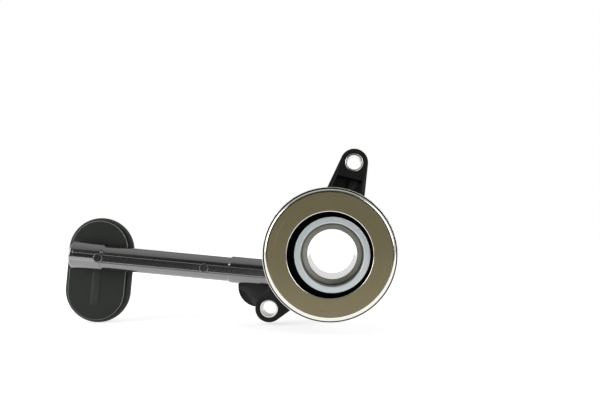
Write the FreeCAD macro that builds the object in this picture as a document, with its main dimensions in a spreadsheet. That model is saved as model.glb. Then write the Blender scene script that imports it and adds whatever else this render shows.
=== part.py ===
import FreeCAD, Part
import math
import os
import Sketcher

# Concentric clutch slave cylinder with a moulded housing, in millimetres.
# The origin is on the bore axis in the gearbox mounting face. The bore runs along Y:
# the release bearing faces -Y and the gearbox is at +Y. +Z is up and +X is to the right
# when the bearing is looked at. A "depth" is a distance in front of the mounting face,
# so it lies at -Y, and a "reach" is a distance behind it, so it lies at +Y.

doc = FreeCAD.newDocument("clutch_slave_cylinder")
Vector = FreeCAD.Vector

# Driving dimensions: alias, value, meaning.
SIZES = [
    # Stack along the bore
    ("overall_depth", 58.0, "mounting face to contact face, piston fully out"),
    ("piston_travel", 14.0, "full stroke of the piston"),
    ("running_gap", 0.05, "radial gap of every sliding fit"),
    ("seat_gap", 0.03, "radial gap of every seated piece"),
    # Housing barrel and base
    ("base_depth", 12.0, "front of the base, where the spring sits"),
    ("seat_lip", 1.5, "height of the lip round the spring seat"),
    ("seat_lip_wall", 1.6, "wall of that lip"),
    ("chamber_width", 4.9, "pressure chamber between sleeve and cylinder"),
    ("barrel_wall", 3.6, "wall of the barrel"),
    ("stop_lip", 1.25, "housing in front of the stop ring"),
    ("floor_depth", 0.5, "floor of the pressure chamber"),
    ("seal_clearance", 4.5, "room between floor and seal, piston pushed home"),
    ("spigot_wall", 3.0, "spigot outside the retaining ring"),
    ("spigot_reach", 10.0, "length of the spigot"),
    ("spigot_edge", 1.0, "lead-in chamfer of the spigot"),
    ("core_out_inner_wall", 1.7, "wall between spigot and the pockets in the base's back"),
    ("core_out_outer_wall", 2.2, "wall outside those pockets"),
    ("core_out_inset", 7.0, "depth of those pockets"),
    ("core_out_count", 9, "number of those pockets"),
    ("core_out_rib", 2.0, "rib left between two pockets"),
    ("core_out_start", -105.0, "direction of the first pocket"),
    ("core_out_sweep", 240.0, "angle from the first pocket to the last"),
    # Guide sleeve and what holds it
    ("sleeve_radius", 16.1, "outside radius of the guide sleeve"),
    ("sleeve_wall", 2.7, "wall of the guide sleeve"),
    ("sleeve_nose_depth", 42.0, "front end of the guide sleeve"),
    ("sleeve_bevel", 1.3, "bevel inside the nose"),
    ("sleeve_edge", 0.4, "small bevels of the sleeve"),
    ("sleeve_flange_width", 4.5, "sleeve's rear flange beyond the sleeve"),
    ("sleeve_flange_wall", 2.5, "thickness of that flange"),
    ("retainer_wall", 1.2, "thickness of the retaining ring"),
    ("retainer_hold", 2.2, "retaining ring inside the flange's edge"),
    ("retainer_bite", 1.4, "how far the ring reaches into the spigot"),
    ("retainer_gape", 40.0, "opening angle of the retaining ring"),
    ("retainer_lip", 0.8, "spigot behind the retaining ring"),
    ("o_ring_cord", 2.5, "cord of the sleeve's sealing ring"),
    # Piston
    ("piston_setback", 2.0, "piston nose behind the contact face"),
    ("carrier_shoulder", 0.5, "step of the piston behind the bearing carrier"),
    ("piston_nose_round", 0.6, "rounding of the nose"),
    ("stem_gap", 0.2, "gap between the piston's stem and the stop ring"),
    ("piston_head_depth", 3.5, "length of the piston head"),
    ("piston_tail", 1.6, "tail that holds the seal"),
    ("piston_tail_wall", 1.2, "wall of that tail"),
    ("band_width", 2.0, "width of the guide band"),
    ("band_wall", 1.4, "thickness of the guide band"),
    ("head_relief", 0.25, "piston head inside the band's radius"),
    ("seal_depth", 4.5, "length of the piston seal"),
    ("seal_lip", 1.0, "thickness of the seal's lips"),
    ("seal_throat", 2.3, "depth of the groove between the lips"),
    ("scraper_depth", 37.0, "rear face of the scraper at rest"),
    ("scraper_width", 2.0, "width of the scraper"),
    ("scraper_wall", 1.7, "thickness of the scraper"),
    ("stop_ring_wall", 1.2, "thickness of the stop ring"),
    ("stop_ring_bite", 1.2, "how far the stop ring reaches into the barrel"),
    ("stop_ring_hold", 0.8, "stop ring inside the cylinder's wall"),
    ("stop_ring_gape", 30.0, "opening angle of the stop ring"),
    # Bearing carrier and float
    ("carrier_wall", 1.5, "thickness of the carrier plate"),
    ("spring_carrier_gap", 0.55, "gap between the preload spring and the carrier's lip"),
    ("carrier_lip", 1.0, "depth of the carrier's outer lip"),
    ("carrier_lip_wall", 0.9, "wall of the outer lip"),
    ("collar_gap", 0.3, "gap between the barrel and the collar that holds the boot"),
    ("boot_collar_wall", 0.8, "wall of that collar"),
    ("boot_collar_depth", 1.8, "length of that collar"),
    ("washer_wall", 0.5, "thickness of the float washer"),
    ("washer_inner_inset", 1.3, "float washer inside the cover's flange, at its bore"),
    ("washer_outer_inset", 3.9, "float washer inside the cover, at its rim"),
    ("float_gap", 0.05, "gap on each side of the float washer"),
    ("float_reach", 1.1, "how far the bearing floats from the bore axis"),
    ("spring_clip_wall", 0.4, "thickness of the centering spring"),
    ("spring_clip_cone", 0.5, "cone height of the centering spring"),
    ("spring_clip_hold", 2.0, "how far the centering spring laps the cover's flange"),
    ("spring_clip_bite", 0.4, "depth of its groove in the piston nose"),
    ("spring_clip_gap", 0.1, "gap between the centering spring and the cover"),
    # Release bearing
    ("contact_bevel", 1.6, "polished rounding of the contact face"),
    ("contact_wall", 3.2, "thickness of the contact flange"),
    ("nose_room", 2.5, "room between the piston's nose and the contact ring"),
    ("contact_bore_bevel", 0.4, "bevel of that bore"),
    ("hub_wall", 4.4, "wall of the contact ring's hub"),
    ("hub_end_setback", 8.8, "hub's rear end behind the contact face"),
    ("ball_radius", 2.381, "radius of the bearing balls"),
    ("race_land", 1.9, "from the balls' pitch circle to the rings beside it"),
    ("ball_setback", 7.4, "ball centres behind the contact face"),
    ("ball_count", 18, "number of balls"),
    ("race_gap", 0.04, "gap between ball and race"),
    ("outer_ring_wall", 3.6, "wall of the outer ring"),
    ("outer_ring_depth", 6.4, "length of the outer ring"),
    ("flange_gap", 0.8, "gap between contact flange and outer ring"),
    ("cage_clearance", 0.7, "gap between the cage and the rings beside it"),
    ("cage_web", 0.75, "cage in front of its pockets"),
    ("cage_back", 1.6, "cage behind the ball centres"),
    ("cage_pocket_gap", 0.15, "gap between ball and cage pocket"),
    ("cover_wall", 0.9, "sheet thickness of the bearing cover"),
    ("cover_gap", 0.4, "gap between contact ring and cover"),
    ("cover_setback", 2.4, "cover's rim behind the contact face"),
    ("cover_step", 0.2, "bore of the cover's rear flange beyond the contact ring's"),
    ("cover_edge", 0.35, "rounding of the cover's rim"),
    ("bearing_seal_wall", 0.5, "thickness of the bearing seal"),
    ("bearing_seal_gap", 0.3, "gap between the bearing seal and the hub"),
    # Preload spring and dust boot
    ("spring_boot_gap", 0.55, "gap between the boot and the preload spring"),
    ("spring_seat_gap", 1.15, "gap between the spring and the lip round its seat"),
    ("spring_wire_radius", 1.15, "radius of the spring wire"),
    ("spring_active_turns", 4, "turns between the two closed ends"),
    ("boot_gap", 0.6, "gap between the barrel and the boot's folds"),
    ("boot_fold_height", 2.7, "height of the boot's folds"),
    ("boot_wall", 0.7, "wall of the boot"),
    ("boot_folds", 5, "number of folds"),
    ("boot_cuff", 2.4, "length of the boot's lower cuff"),
    ("boot_cuff_wall", 1.5, "wall of the lower cuff"),
    # Lugs
    ("lug_depth", 10.0, "thickness of the lugs"),
    ("upper_lug_radius", 55.08, "upper bolt hole from the bore axis"),
    ("upper_lug_angle", 76.24, "direction of the upper bolt hole"),
    ("upper_lug_left", 15.6, "half width of the upper lug at its root, left"),
    ("upper_lug_right", 13.1, "half width of the upper lug at its root, right"),
    ("upper_lug_root", 20.0, "root of the upper lug from the bore axis"),
    ("lower_lug_radius", 50.36, "lower bolt hole from the bore axis"),
    ("lower_lug_angle", 221.7, "direction of the lower bolt hole"),
    ("lower_lug_left", 10.6, "half width of the lower lug at its root, lower side"),
    ("lower_lug_right", 13.2, "half width of the lower lug at its root, upper side"),
    ("lower_lug_root", 29.0, "root of the lower lug from the bore axis"),
    ("lug_end_radius", 8.3, "rounded end of the lugs"),
    ("lug_edge", 0.6, "bevel of the lugs' front edges"),
    ("lug_rim", 2.2, "rim left round the lug's pocket"),
    ("lug_pocket", 3.5, "depth of the lug's front pocket"),
    ("lug_boss_wall", 1.2, "wall between that pocket and the lug's round end"),
    ("lug_foot", 1.0, "material between that pocket and the base"),
    ("lug_rib", 1.6, "rib along the middle of the pocket"),
    ("lug_rib_drop", 0.9, "that rib below the lug's face"),
    ("bolt_sleeve_radius", 5.4, "outside radius of the compression sleeves"),
    ("bolt_bore_radius", 4.2, "bore of the compression sleeves"),
    ("bolt_sleeve_proud", 0.25, "sleeve standing in front of the lug"),
    ("bolt_sleeve_edge", 0.5, "bevel of the sleeve's front edge"),
    # Web beside the arm
    ("web_x", 44.4, "middle of the web's round corner, left of the bore"),
    ("web_z", 20.75, "middle of that corner, below the bore"),
    ("web_corner", 12.0, "radius of that corner"),
    ("web_top", 12.0, "web's upper edge inside the arm, below the bore"),
    ("web_front", 7.0, "front of the web"),
    ("web_back", 2.5, "back of the web"),
    ("web_root", 2.0, "web buried in the base"),
    # Arm
    ("arm_depth", 7.5, "arm axis in front of the mounting face"),
    ("arm_x", -90.0, "point on the arm axis, sideways"),
    ("arm_z", -7.55, "point on the arm axis, upwards"),
    ("arm_slope", 5.37, "arm axis falls this much towards the bore"),
    ("arm_end", 65.0, "free end, measured from that point"),
    ("arm_end_step", 46.6, "end of the thick outer section"),
    ("arm_body_step", 28.7, "start of the thicker inner section"),
    ("arm_joint", 30.0, "where the port head's short tube meets the arm's"),
    ("arm_body_end", 70.0, "inner end, buried in the base"),
    ("arm_back", 0.5, "flat back of the inner section, in front of the mounting face"),
    ("arm_end_radius", 8.3, "radius of the thick outer section"),
    ("arm_radius", 7.15, "radius of the middle section"),
    ("arm_body_radius", 7.9, "radius of the inner section"),
    ("arm_step_run", 1.2, "slope of the two steps"),
    ("rib_half_width", 2.2, "half the width of the flat rib"),
    ("rib_height", 1.05, "rib above the arm's crown"),
    ("rib_border", 0.7, "width of the border beside the rib"),
    ("rib_border_drop", 0.35, "border below the rib's face"),
    ("pad_radius", 2.7, "radius of the two round pads"),
    ("pad_height", 0.45, "pads above the rib"),
    ("outer_pad_along", -47.2, "outer pad along the arm"),
    ("inner_pad_along", 15.0, "inner pad along the arm"),
    ("channel_radius", 2.0, "radius of the fluid channel"),
    ("channel_end", 78.0, "inner end of the fluid channel along the arm"),
    ("channel_shelf", 0.3, "channel above the chamber floor"),
    ("cap_wall", 2.6, "thickness of the arm's end cap"),
    ("cap_edge", 1.2, "rounding of the cap"),
    ("cap_plug", 5.0, "plug of the cap inside the arm"),
    ("cap_plug_radius", 3.2, "radius of that plug"),
    # Port flange and its seal
    ("plate_x", -142.6, "middle of the port flange, sideways"),
    ("plate_z", -11.25, "middle of the port flange, upwards"),
    ("flange_half_width", 17.05, "half the width of the port flange"),
    ("flange_half_height", 30.2, "half the height of the port flange"),
    ("flange_front", 3.0, "front of the port flange"),
    ("flange_wall", 4.0, "thickness of the port flange"),
    ("flange_edge", 1.2, "bevel of the flange's front edge"),
    ("seal_rim_side", 2.8, "aperture seal beyond the flange, sideways"),
    ("seal_rim_end", 1.8, "aperture seal beyond the flange, up and down"),
    ("seal_front", 0.3, "front of the aperture seal"),
    ("seal_rim_wall", 2.0, "thickness of the seal's front rim"),
    ("seal_neck_inset", 3.6, "neck of the seal inside the rim"),
    ("seal_reach", 8.0, "rear end of the aperture seal"),
    ("seal_bead", 1.6, "length of the rear bead"),
    ("seal_bead_proud", 0.9, "bead beyond the neck"),
    ("seal_foot", 2.9, "seal's inward foot behind the flange"),
    ("band_rib_half", 1.7, "half the width of the channel rib on the flange"),
    ("band_rib_proud", 0.4, "channel rib in front of the flange"),
    # Line port
    ("line_offset", 8.4, "line port above the middle of the flange"),
    ("line_boss_radius", 9.5, "radius of the line port"),
    ("line_reach", 21.0, "rear end of the line port"),
    ("line_bore_radius", 6.0, "bore at the mouth of the line port"),
    ("line_mouth_depth", 6.0, "depth of that bore"),
    ("line_seat_step", 1.0, "step to the narrower bore behind it"),
    ("line_bore_depth", 16.0, "depth of both bores together"),
    ("line_edge", 0.8, "lead-in bevel of the mouth"),
    ("port_seal_wall", 1.7, "thickness of the port's sealing ring"),
    ("port_seal_width", 2.5, "width of the port's sealing ring"),
    ("clip_wire_radius", 0.8, "radius of the clip wire"),
    ("clip_setback", 7.6, "clip in front of the port's mouth"),
    ("clip_slot_gap", 0.2, "gap round the clip wire in its slots"),
    ("clip_leg_offset", 5.3, "clip legs beside the port axis"),
    ("clip_leg_drop", 7.0, "clip legs below the port axis"),
    ("clip_crown", 11.2, "clip crown above the port axis"),
    ("clip_bend_radius", 2.4, "bends of the clip"),
    # Bleeder
    ("bleed_offset", 16.0, "bleeder below the middle of the flange"),
    ("bleed_boss_radius", 7.2, "radius of the bleeder boss"),
    ("bleed_reach", 15.0, "rear end of the bleeder boss"),
    ("insert_radius", 5.2, "radius of the threaded insert"),
    ("insert_depth", 10.5, "length of the threaded insert"),
    ("insert_groove", 0.5, "depth of the insert's groove"),
    ("screw_radius", 4.0, "radius of the bleed screw"),
    ("screw_depth", 9.5, "screw inside the insert"),
    ("screw_cone", 2.2, "sealing cone at the screw's end"),
    ("hex_gap", 0.4, "gap between insert and hexagon"),
    ("hex_flat", 5.0, "half the width across the hexagon's flats"),
    ("hex_wall", 4.0, "thickness of the hexagon"),
    ("nipple_radius", 2.5, "radius of the nipple's neck"),
    ("nipple_barb_radius", 3.2, "radius of the nipple's bulge"),
    ("nipple_length", 9.0, "nipple behind the hexagon"),
    ("nipple_barb_length", 3.0, "length of the bulge"),
    ("nipple_lead", 1.8, "tapered tip of the bulge"),
    ("bleed_bore_radius", 0.9, "bore of the bleed screw"),
    ("cap_gap", 0.1, "gap between rubber cap and nipple"),
    ("cap_rubber", 1.1, "wall of the rubber cap"),
    ("cap_bead", 0.6, "bead at the cap's mouth"),
    ("cap_bead_length", 1.6, "length of that bead"),
    ("cap_end_bevel", 0.9, "bevel of the cap's closed end"),
    ("bleed_channel_radius", 1.5, "radius of the channel to the bleeder"),
    ("web_rib_half", 2.0, "half the thickness of the rib between the bosses"),
    ("web_rib_reach", 8.0, "rear edge of that rib"),
]

sheet = doc.addObject("Spreadsheet::Sheet", "Sizes")
for row, (alias, size, meaning) in enumerate(SIZES, start=1):
    sheet.set(f"A{row}", alias)
    sheet.set(f"B{row}", str(size))
    sheet.setAlias(f"B{row}", alias)
    sheet.set(f"C{row}", meaning)
doc.recompute()


class Cells:
    """Cells.name is the expression that reads the cell with that alias."""

    def __getattr__(self, alias):
        return f"Sizes.{alias}"


cell = Cells()


def number(expression):
    """Present value of an expression."""
    return float(sheet.evalExpression(str(expression)))


def total(*terms):
    """Expression for a sum."""
    return "(" + " + ".join(str(term) for term in terms) + ")"


def less(first, *rest):
    """Expression for the first term less all the others."""
    return "(" + " - ".join(str(term) for term in (first,) + rest) + ")"


def front(*terms):
    """Expression for a place on Y in front of the mounting face."""
    return f"-{total(*terms)}"


# Cuts run this far past the face that they leave by
PAST = "1"

# Sizes that follow from the driving dimensions
CYLINDER_R = total(cell.sleeve_radius, cell.chamber_width)
BARREL_R = total(CYLINDER_R, cell.barrel_wall)
SLEEVE_BORE_R = less(cell.sleeve_radius, cell.sleeve_wall)
SLEEVE_FLANGE_R = total(cell.sleeve_radius, cell.sleeve_flange_width)
RETAINER_R = total(SLEEVE_FLANGE_R, cell.retainer_bite)
RETAINER_INNER_R = less(SLEEVE_FLANGE_R, cell.retainer_hold)
SPIGOT_R = total(RETAINER_R, cell.spigot_wall)
STOP_RING_INNER_R = less(CYLINDER_R, cell.stop_ring_hold)
PISTON_BORE_R = total(cell.sleeve_radius, cell.running_gap)
PISTON_HEAD_R = less(CYLINDER_R, cell.running_gap)
PISTON_STEM_R = less(STOP_RING_INNER_R, cell.stem_gap)
PISTON_NOSE_R = less(PISTON_STEM_R, cell.carrier_shoulder)

CONTACT_BORE_R = total(PISTON_NOSE_R, cell.nose_room)
HUB_R = total(CONTACT_BORE_R, cell.hub_wall)
BALL_PITCH_R = total(HUB_R, cell.race_land)
OUTER_RING_INNER_R = total(BALL_PITCH_R, cell.race_land)
COVER_IN_R = total(OUTER_RING_INNER_R, cell.outer_ring_wall)
COVER_R = total(COVER_IN_R, cell.cover_wall)
CONTACT_R = less(COVER_IN_R, cell.cover_gap)
COVER_INNER_R = total(CONTACT_BORE_R, cell.cover_step)
SPRING_CLIP_R = total(COVER_INNER_R, cell.spring_clip_hold)

COLLAR_IN_R = total(BARREL_R, cell.collar_gap)
COLLAR_R = total(COLLAR_IN_R, cell.boot_collar_wall)
BOOT_INNER_R = total(BARREL_R, cell.boot_gap)
BOOT_R = total(BOOT_INNER_R, cell.boot_fold_height)
SPRING_R = total(BOOT_R, cell.spring_boot_gap, cell.spring_wire_radius)
SPRING_OUT_R = total(SPRING_R, cell.spring_wire_radius)
CARRIER_R = total(SPRING_OUT_R, cell.spring_carrier_gap, cell.carrier_lip_wall)
SEAT_LIP_IN_R = total(SPRING_OUT_R, cell.spring_seat_gap)
BASE_R = total(SEAT_LIP_IN_R, cell.seat_lip_wall)

SEAL_REAR = total(cell.floor_depth, cell.seal_clearance, cell.piston_travel)
HEAD_REAR = total(SEAL_REAR, cell.seal_depth)
HEAD_FRONT = total(HEAD_REAR, cell.piston_head_depth)
STOP_RING_REAR = total(HEAD_FRONT, cell.running_gap)
STOP_RING_FRONT = total(STOP_RING_REAR, cell.stop_ring_wall)
BARREL_FRONT = total(STOP_RING_FRONT, cell.stop_lip)

FLANGE_REAR = less(cell.overall_depth, cell.contact_wall)
OUTER_RING_FRONT = less(FLANGE_REAR, cell.flange_gap)
OUTER_RING_REAR = less(OUTER_RING_FRONT, cell.outer_ring_depth)
COVER_REAR = less(OUTER_RING_REAR, cell.cover_wall)
CARRIER_FRONT = less(COVER_REAR, cell.washer_wall, cell.float_gap, cell.float_gap)
CARRIER_REAR = less(CARRIER_FRONT, cell.carrier_wall)
PISTON_NOSE = less(cell.overall_depth, cell.piston_setback)
BALL_DEPTH = less(cell.overall_depth, cell.ball_setback)
SPRING_CLIP_REAR = total(OUTER_RING_REAR, cell.spring_clip_gap)

RETAINER_REAR = less(cell.spigot_reach, cell.retainer_lip)
RETAINER_FRONT = less(RETAINER_REAR, cell.retainer_wall)
SLEEVE_SEAT = less(RETAINER_FRONT, cell.sleeve_flange_wall)

CHAMBER_CHANNEL_DEPTH = total(cell.floor_depth, cell.channel_shelf, cell.channel_radius)


# Building blocks

def make_body(label):
    body = doc.addObject("PartDesign::Body", label)
    body.Label = label
    return body


def origin_plane(body, role):
    return next(item for item in body.Origin.OriginFeatures if item.Role == role)


def bind_offset(sketch, x=None, y=None, z=None, angle=None):
    """Place a sketch on its plane; z is along the plane's own normal."""
    sketch.AttachmentOffset = FreeCAD.Placement(Vector(), FreeCAD.Rotation(Vector(0, 0, 1), 1))
    for axis, expression in (("x", x), ("y", y), ("z", z)):
        if expression is not None:
            sketch.setExpression(f"AttachmentOffset.Base.{axis}", expression)
    sketch.setExpression("AttachmentOffset.Rotation.Angle", angle or "0")


def make_sketch(body, name, role, **offset):
    sketch = body.newObject("Sketcher::SketchObject", name)
    sketch.AttachmentSupport = [(origin_plane(body, role), "")]
    sketch.MapMode = "FlatFace"
    if offset:
        bind_offset(sketch, **offset)
    return sketch


def fix_point(sketch, geometry, end, x, y):
    """Hold a point at a place given by two expressions."""
    for kind, expression in (("DistanceX", x), ("DistanceY", y)):
        index = sketch.addConstraint(Sketcher.Constraint(kind, geometry, end, number(expression)))
        sketch.setExpression(f"Constraints[{index}]", str(expression))


def draw_outline(sketch, corners):
    """Closed outline of straight lines; each corner is a pair of expressions."""
    places = [Vector(number(x), number(y), 0) for x, y in corners]
    first = sketch.GeometryCount
    count = len(places)
    for index in range(count):
        line = Part.LineSegment(places[index], places[(index + 1) % count])
        sketch.addGeometry(line, False)
    joins = []
    for index in range(count):
        following = first + (index + 1) % count
        joins.append(Sketcher.Constraint("Coincident", first + index, 2, following, 1))
    sketch.addConstraint(joins)
    for index, (x, y) in enumerate(corners):
        fix_point(sketch, first + index, 1, x, y)


def draw_circle(sketch, x, y, radius):
    circle = Part.Circle(Vector(number(x), number(y), 0), Vector(0, 0, 1), number(radius))
    geometry = sketch.addGeometry(circle, False)
    fix_point(sketch, geometry, 3, x, y)
    index = sketch.addConstraint(Sketcher.Constraint("Radius", geometry, number(radius)))
    sketch.setExpression(f"Constraints[{index}]", str(radius))


def draw_stadium(sketch, half_width, half_height, middle="0"):
    """Upright outline with two straight sides and two round ends."""
    half, top, level = number(half_width), number(half_height), number(middle)
    run = top - half
    up, down = Vector(0, level + run, 0), Vector(0, level - run, 0)
    normal = Vector(0, 0, 1)
    upper = sketch.addGeometry(Part.ArcOfCircle(Part.Circle(up, normal, half), 0, math.pi), False)
    left = sketch.addGeometry(Part.LineSegment(Vector(-half, up.y, 0), Vector(-half, down.y, 0)), False)
    lower = sketch.addGeometry(
        Part.ArcOfCircle(Part.Circle(down, normal, half), math.pi, 2 * math.pi), False)
    right = sketch.addGeometry(Part.LineSegment(Vector(half, down.y, 0), Vector(half, up.y, 0)), False)
    sketch.addConstraint([
        Sketcher.Constraint("Tangent", upper, 2, left, 1),
        Sketcher.Constraint("Tangent", left, 2, lower, 1),
        Sketcher.Constraint("Tangent", lower, 2, right, 1),
        Sketcher.Constraint("Tangent", right, 2, upper, 1),
    ])
    end_middle = less(half_height, half_width)
    fix_point(sketch, upper, 3, "0", total(middle, end_middle))
    fix_point(sketch, lower, 3, "0", less(middle, end_middle))
    index = sketch.addConstraint(Sketcher.Constraint("Radius", upper, half))
    sketch.setExpression(f"Constraints[{index}]", str(half_width))


def revolve(body, name, corners, cut=False, shift=None):
    """Turn an outline of (radius, place on Y) about Y, as material or as a groove."""
    offset = {"z": shift} if shift else {}
    sketch = make_sketch(body, f"{name}_profile", "XY_Plane", **offset)
    draw_outline(sketch, corners)
    kind = "PartDesign::Groove" if cut else "PartDesign::Revolution"
    feature = body.newObject(kind, name)
    feature.Profile = sketch
    feature.ReferenceAxis = (sketch, ["V_Axis"])
    feature.Angle = 360
    sketch.Visibility = False
    return feature


def extrude(body, name, sketch, length, cut=False, backwards=False):
    """Pad or pocket a sketch of the XZ plane; a pad runs to -Y and a pocket to +Y unless reversed."""
    kind = "PartDesign::Pocket" if cut else "PartDesign::Pad"
    feature = body.newObject(kind, name)
    feature.Profile = sketch
    feature.setExpression("Length", length)
    feature.Reversed = backwards
    sketch.Visibility = False
    return feature


def rim_edges(shape, rims):
    """Names of the full circles about an axis along Y that have one of these (radius, y)."""
    wanted = [(number(radius), number(place)) for radius, place in rims]
    names = []
    for index, edge in enumerate(shape.Edges, start=1):
        if not isinstance(edge.Curve, Part.Circle):
            continue
        for radius, place in wanted:
            if abs(edge.Curve.Radius - radius) < 1e-3 and abs(edge.Curve.Center.y - place) < 1e-3:
                names.append(f"Edge{index}")
                break
    return names


def soften(body, name, base, edges, size, kind="Fillet"):
    """Round or bevel named edges of a feature."""
    feature = body.newObject(f"PartDesign::{kind}", name)
    feature.Base = (base, edges)
    feature.setExpression("Radius" if kind == "Fillet" else "Size", size)
    return feature


def soften_rims(body, name, base, rims, size, kind="Fillet"):
    doc.recompute()
    edges = rim_edges(base.Shape, rims)
    assert len(edges) == len(rims), f"{name}: {len(edges)} rims found"
    return soften(body, name, base, edges, size, kind)


def repeat_round(body, name, feature, count):
    """Repeat a feature about the Y axis."""
    pattern = body.newObject("PartDesign::PolarPattern", name)
    pattern.Originals = [feature]
    axis = next(item for item in body.Origin.OriginFeatures if item.Role == "Y_Axis")
    pattern.Axis = (axis, [""])
    pattern.Angle = 360
    pattern.setExpression("Occurrences", count)
    body.Tip = pattern
    return pattern


def box_ring(inner_r, outer_r, front_depth, rear_depth):
    """Corners of a plain ring's section, by its two radii and two places in front of the face."""
    return [
        (inner_r, front(rear_depth)),
        (outer_r, front(rear_depth)),
        (outer_r, front(front_depth)),
        (inner_r, front(front_depth)),
    ]


def float_with_bearing(body):
    """The bearing rests at the left end of its float, as it lies when it is set down."""
    body.setExpression("Placement.Base.x", f"-{cell.float_reach}")


def place_on_plate(body):
    """Pieces of the ports are made about the middle of the port flange and lean with it."""
    body.Placement = FreeCAD.Placement(Vector(), FreeCAD.Rotation(Vector(0, 1, 0), 1))
    body.setExpression("Placement.Base.x", cell.plate_x)
    body.setExpression("Placement.Base.z", cell.plate_z)
    body.setExpression("Placement.Rotation.Angle", cell.arm_slope)


def plate_sketch(body, name, depth):
    """Sketch in the leaning frame of the port flange, inside the housing."""
    return make_sketch(body, name, "XZ_Plane", x=cell.plate_x, y=cell.plate_z, z=depth,
                       angle=f"-{cell.arm_slope}")


def arm_sketch(body, name, depth):
    """Sketch whose own x axis runs along the arm, towards the bore."""
    return make_sketch(body, name, "XZ_Plane", x=cell.arm_x, y=cell.arm_z, z=depth,
                       angle=f"-{cell.arm_slope}")


# Housing

def housing_core(body):
    """Base, barrel and spigot before anything is hollowed out."""
    lip_front = total(cell.base_depth, cell.seat_lip)
    return revolve(body, "housing_core", [
        (SLEEVE_BORE_R, cell.spigot_reach),
        (less(SPIGOT_R, cell.spigot_edge), cell.spigot_reach),
        (SPIGOT_R, less(cell.spigot_reach, cell.spigot_edge)),
        (SPIGOT_R, "0"),
        (BASE_R, "0"),
        (BASE_R, front(lip_front)),
        (SEAT_LIP_IN_R, front(lip_front)),
        (SEAT_LIP_IN_R, front(cell.base_depth)),
        (BARREL_R, front(cell.base_depth)),
        (BARREL_R, front(BARREL_FRONT)),
        (SLEEVE_BORE_R, front(BARREL_FRONT)),
    ])


def tangent_point(distance, radius, root, half, side):
    """Where a line from a lug's root touches its round end, in the lug's own frame."""
    run = distance - root
    length = math.hypot(run, half)
    heading = math.atan2(-half, run) + side * math.asin(radius / length)
    reach = math.sqrt(length ** 2 - radius ** 2)
    return Vector(root + reach * math.cos(heading), half + reach * math.sin(heading), 0)


def draw_lug(sketch, distance, radius, root, left, right):
    """Round end about the bolt hole and two tangent sides; x runs outward through the hole."""
    middle = Vector(number(distance), 0, 0)
    size = number(radius)
    feet = [Vector(number(root), number(left), 0), Vector(number(root), -number(right), 0)]
    touch = [
        tangent_point(middle.x, size, feet[0].x, feet[0].y, 1),
        tangent_point(middle.x, size, feet[1].x, feet[1].y, -1),
    ]
    end, start = [math.atan2(point.y, point.x - middle.x) for point in touch]
    circle = Part.Circle(middle, Vector(0, 0, 1), size)
    arc = sketch.addGeometry(Part.ArcOfCircle(circle, start, end), False)
    first = sketch.addGeometry(Part.LineSegment(touch[0], feet[0]), False)
    foot = sketch.addGeometry(Part.LineSegment(feet[0], feet[1]), False)
    second = sketch.addGeometry(Part.LineSegment(feet[1], touch[1]), False)
    sketch.addConstraint([
        Sketcher.Constraint("Tangent", arc, 2, first, 1),
        Sketcher.Constraint("Coincident", first, 2, foot, 1),
        Sketcher.Constraint("Coincident", foot, 2, second, 1),
        Sketcher.Constraint("Tangent", second, 2, arc, 1),
    ])
    fix_point(sketch, arc, 3, distance, "0")
    index = sketch.addConstraint(Sketcher.Constraint("Radius", arc, size))
    sketch.setExpression(f"Constraints[{index}]", radius)
    fix_point(sketch, first, 2, root, left)
    fix_point(sketch, foot, 2, root, f"-{right}")


class Lug:
    """Driving cells of one bolt lug."""

    def __init__(self, side):
        self.side = side
        self.distance = f"Sizes.{side}_lug_radius"
        self.angle = f"Sizes.{side}_lug_angle"
        self.left = f"Sizes.{side}_lug_left"
        self.right = f"Sizes.{side}_lug_right"
        self.root = f"Sizes.{side}_lug_root"

    def sketch(self, body, name, depth):
        return make_sketch(body, name, "XZ_Plane", z=depth, angle=self.angle)

    def half_width(self, side, distance):
        """Half width of the lug at a distance from the bore, along its straight side."""
        slope = f"({side} - {cell.lug_end_radius}) / ({self.distance} - {self.root})"
        return f"({cell.lug_end_radius} + {slope} * ({self.distance} - {distance}))"


LUGS = [Lug("upper"), Lug("lower")]


def housing_lug(body, lug):
    name = f"{lug.side}_lug"
    sketch = lug.sketch(body, f"{name}_outline", "0")
    draw_lug(sketch, lug.distance, cell.lug_end_radius, lug.root, lug.left, lug.right)
    pad = extrude(body, name, sketch, cell.lug_depth)
    doc.recompute()
    angle = math.radians(number(lug.angle))
    outward = Vector(math.cos(angle), 0, math.sin(angle))
    reach = number(BASE_R)
    level = -number(cell.lug_depth)
    edges = []
    for index, edge in enumerate(pad.Shape.Edges, start=1):
        points = [vertex.Point for vertex in edge.Vertexes]
        middle = edge.valueAt((edge.FirstParameter + edge.LastParameter) / 2)
        flat = all(abs(point.y - level) < 1e-4 for point in points + [middle])
        if flat and middle.dot(outward) > reach:
            edges.append(f"Edge{index}")
    return soften(body, f"{name}_edge", pad, edges, cell.lug_edge, "Chamfer")


def housing_lug_pocket(body, lug):
    """Recess in the lug's face between the round boss and the base."""
    near = total(BASE_R, cell.lug_foot)
    far = less(lug.distance, cell.lug_end_radius, cell.lug_boss_wall)
    sketch = lug.sketch(body, f"{lug.side}_pocket_outline", cell.lug_depth)
    corners = []
    for distance in (near, far):
        corners.append((distance, less(lug.half_width(lug.left, distance), cell.lug_rim)))
    for distance in (far, near):
        corners.append((distance, f"-{less(lug.half_width(lug.right, distance), cell.lug_rim)}"))
    draw_outline(sketch, corners)
    extrude(body, f"{lug.side}_pocket", sketch, cell.lug_pocket, cut=True)
    half = f"({cell.lug_rib} / 2)"
    sketch = lug.sketch(body, f"{lug.side}_rib_outline", less(cell.lug_depth, cell.lug_pocket))
    draw_outline(sketch, [(near, f"-{half}"), (far, f"-{half}"), (far, half), (near, half)])
    return extrude(body, f"{lug.side}_rib", sketch, less(cell.lug_pocket, cell.lug_rib_drop))


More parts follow.
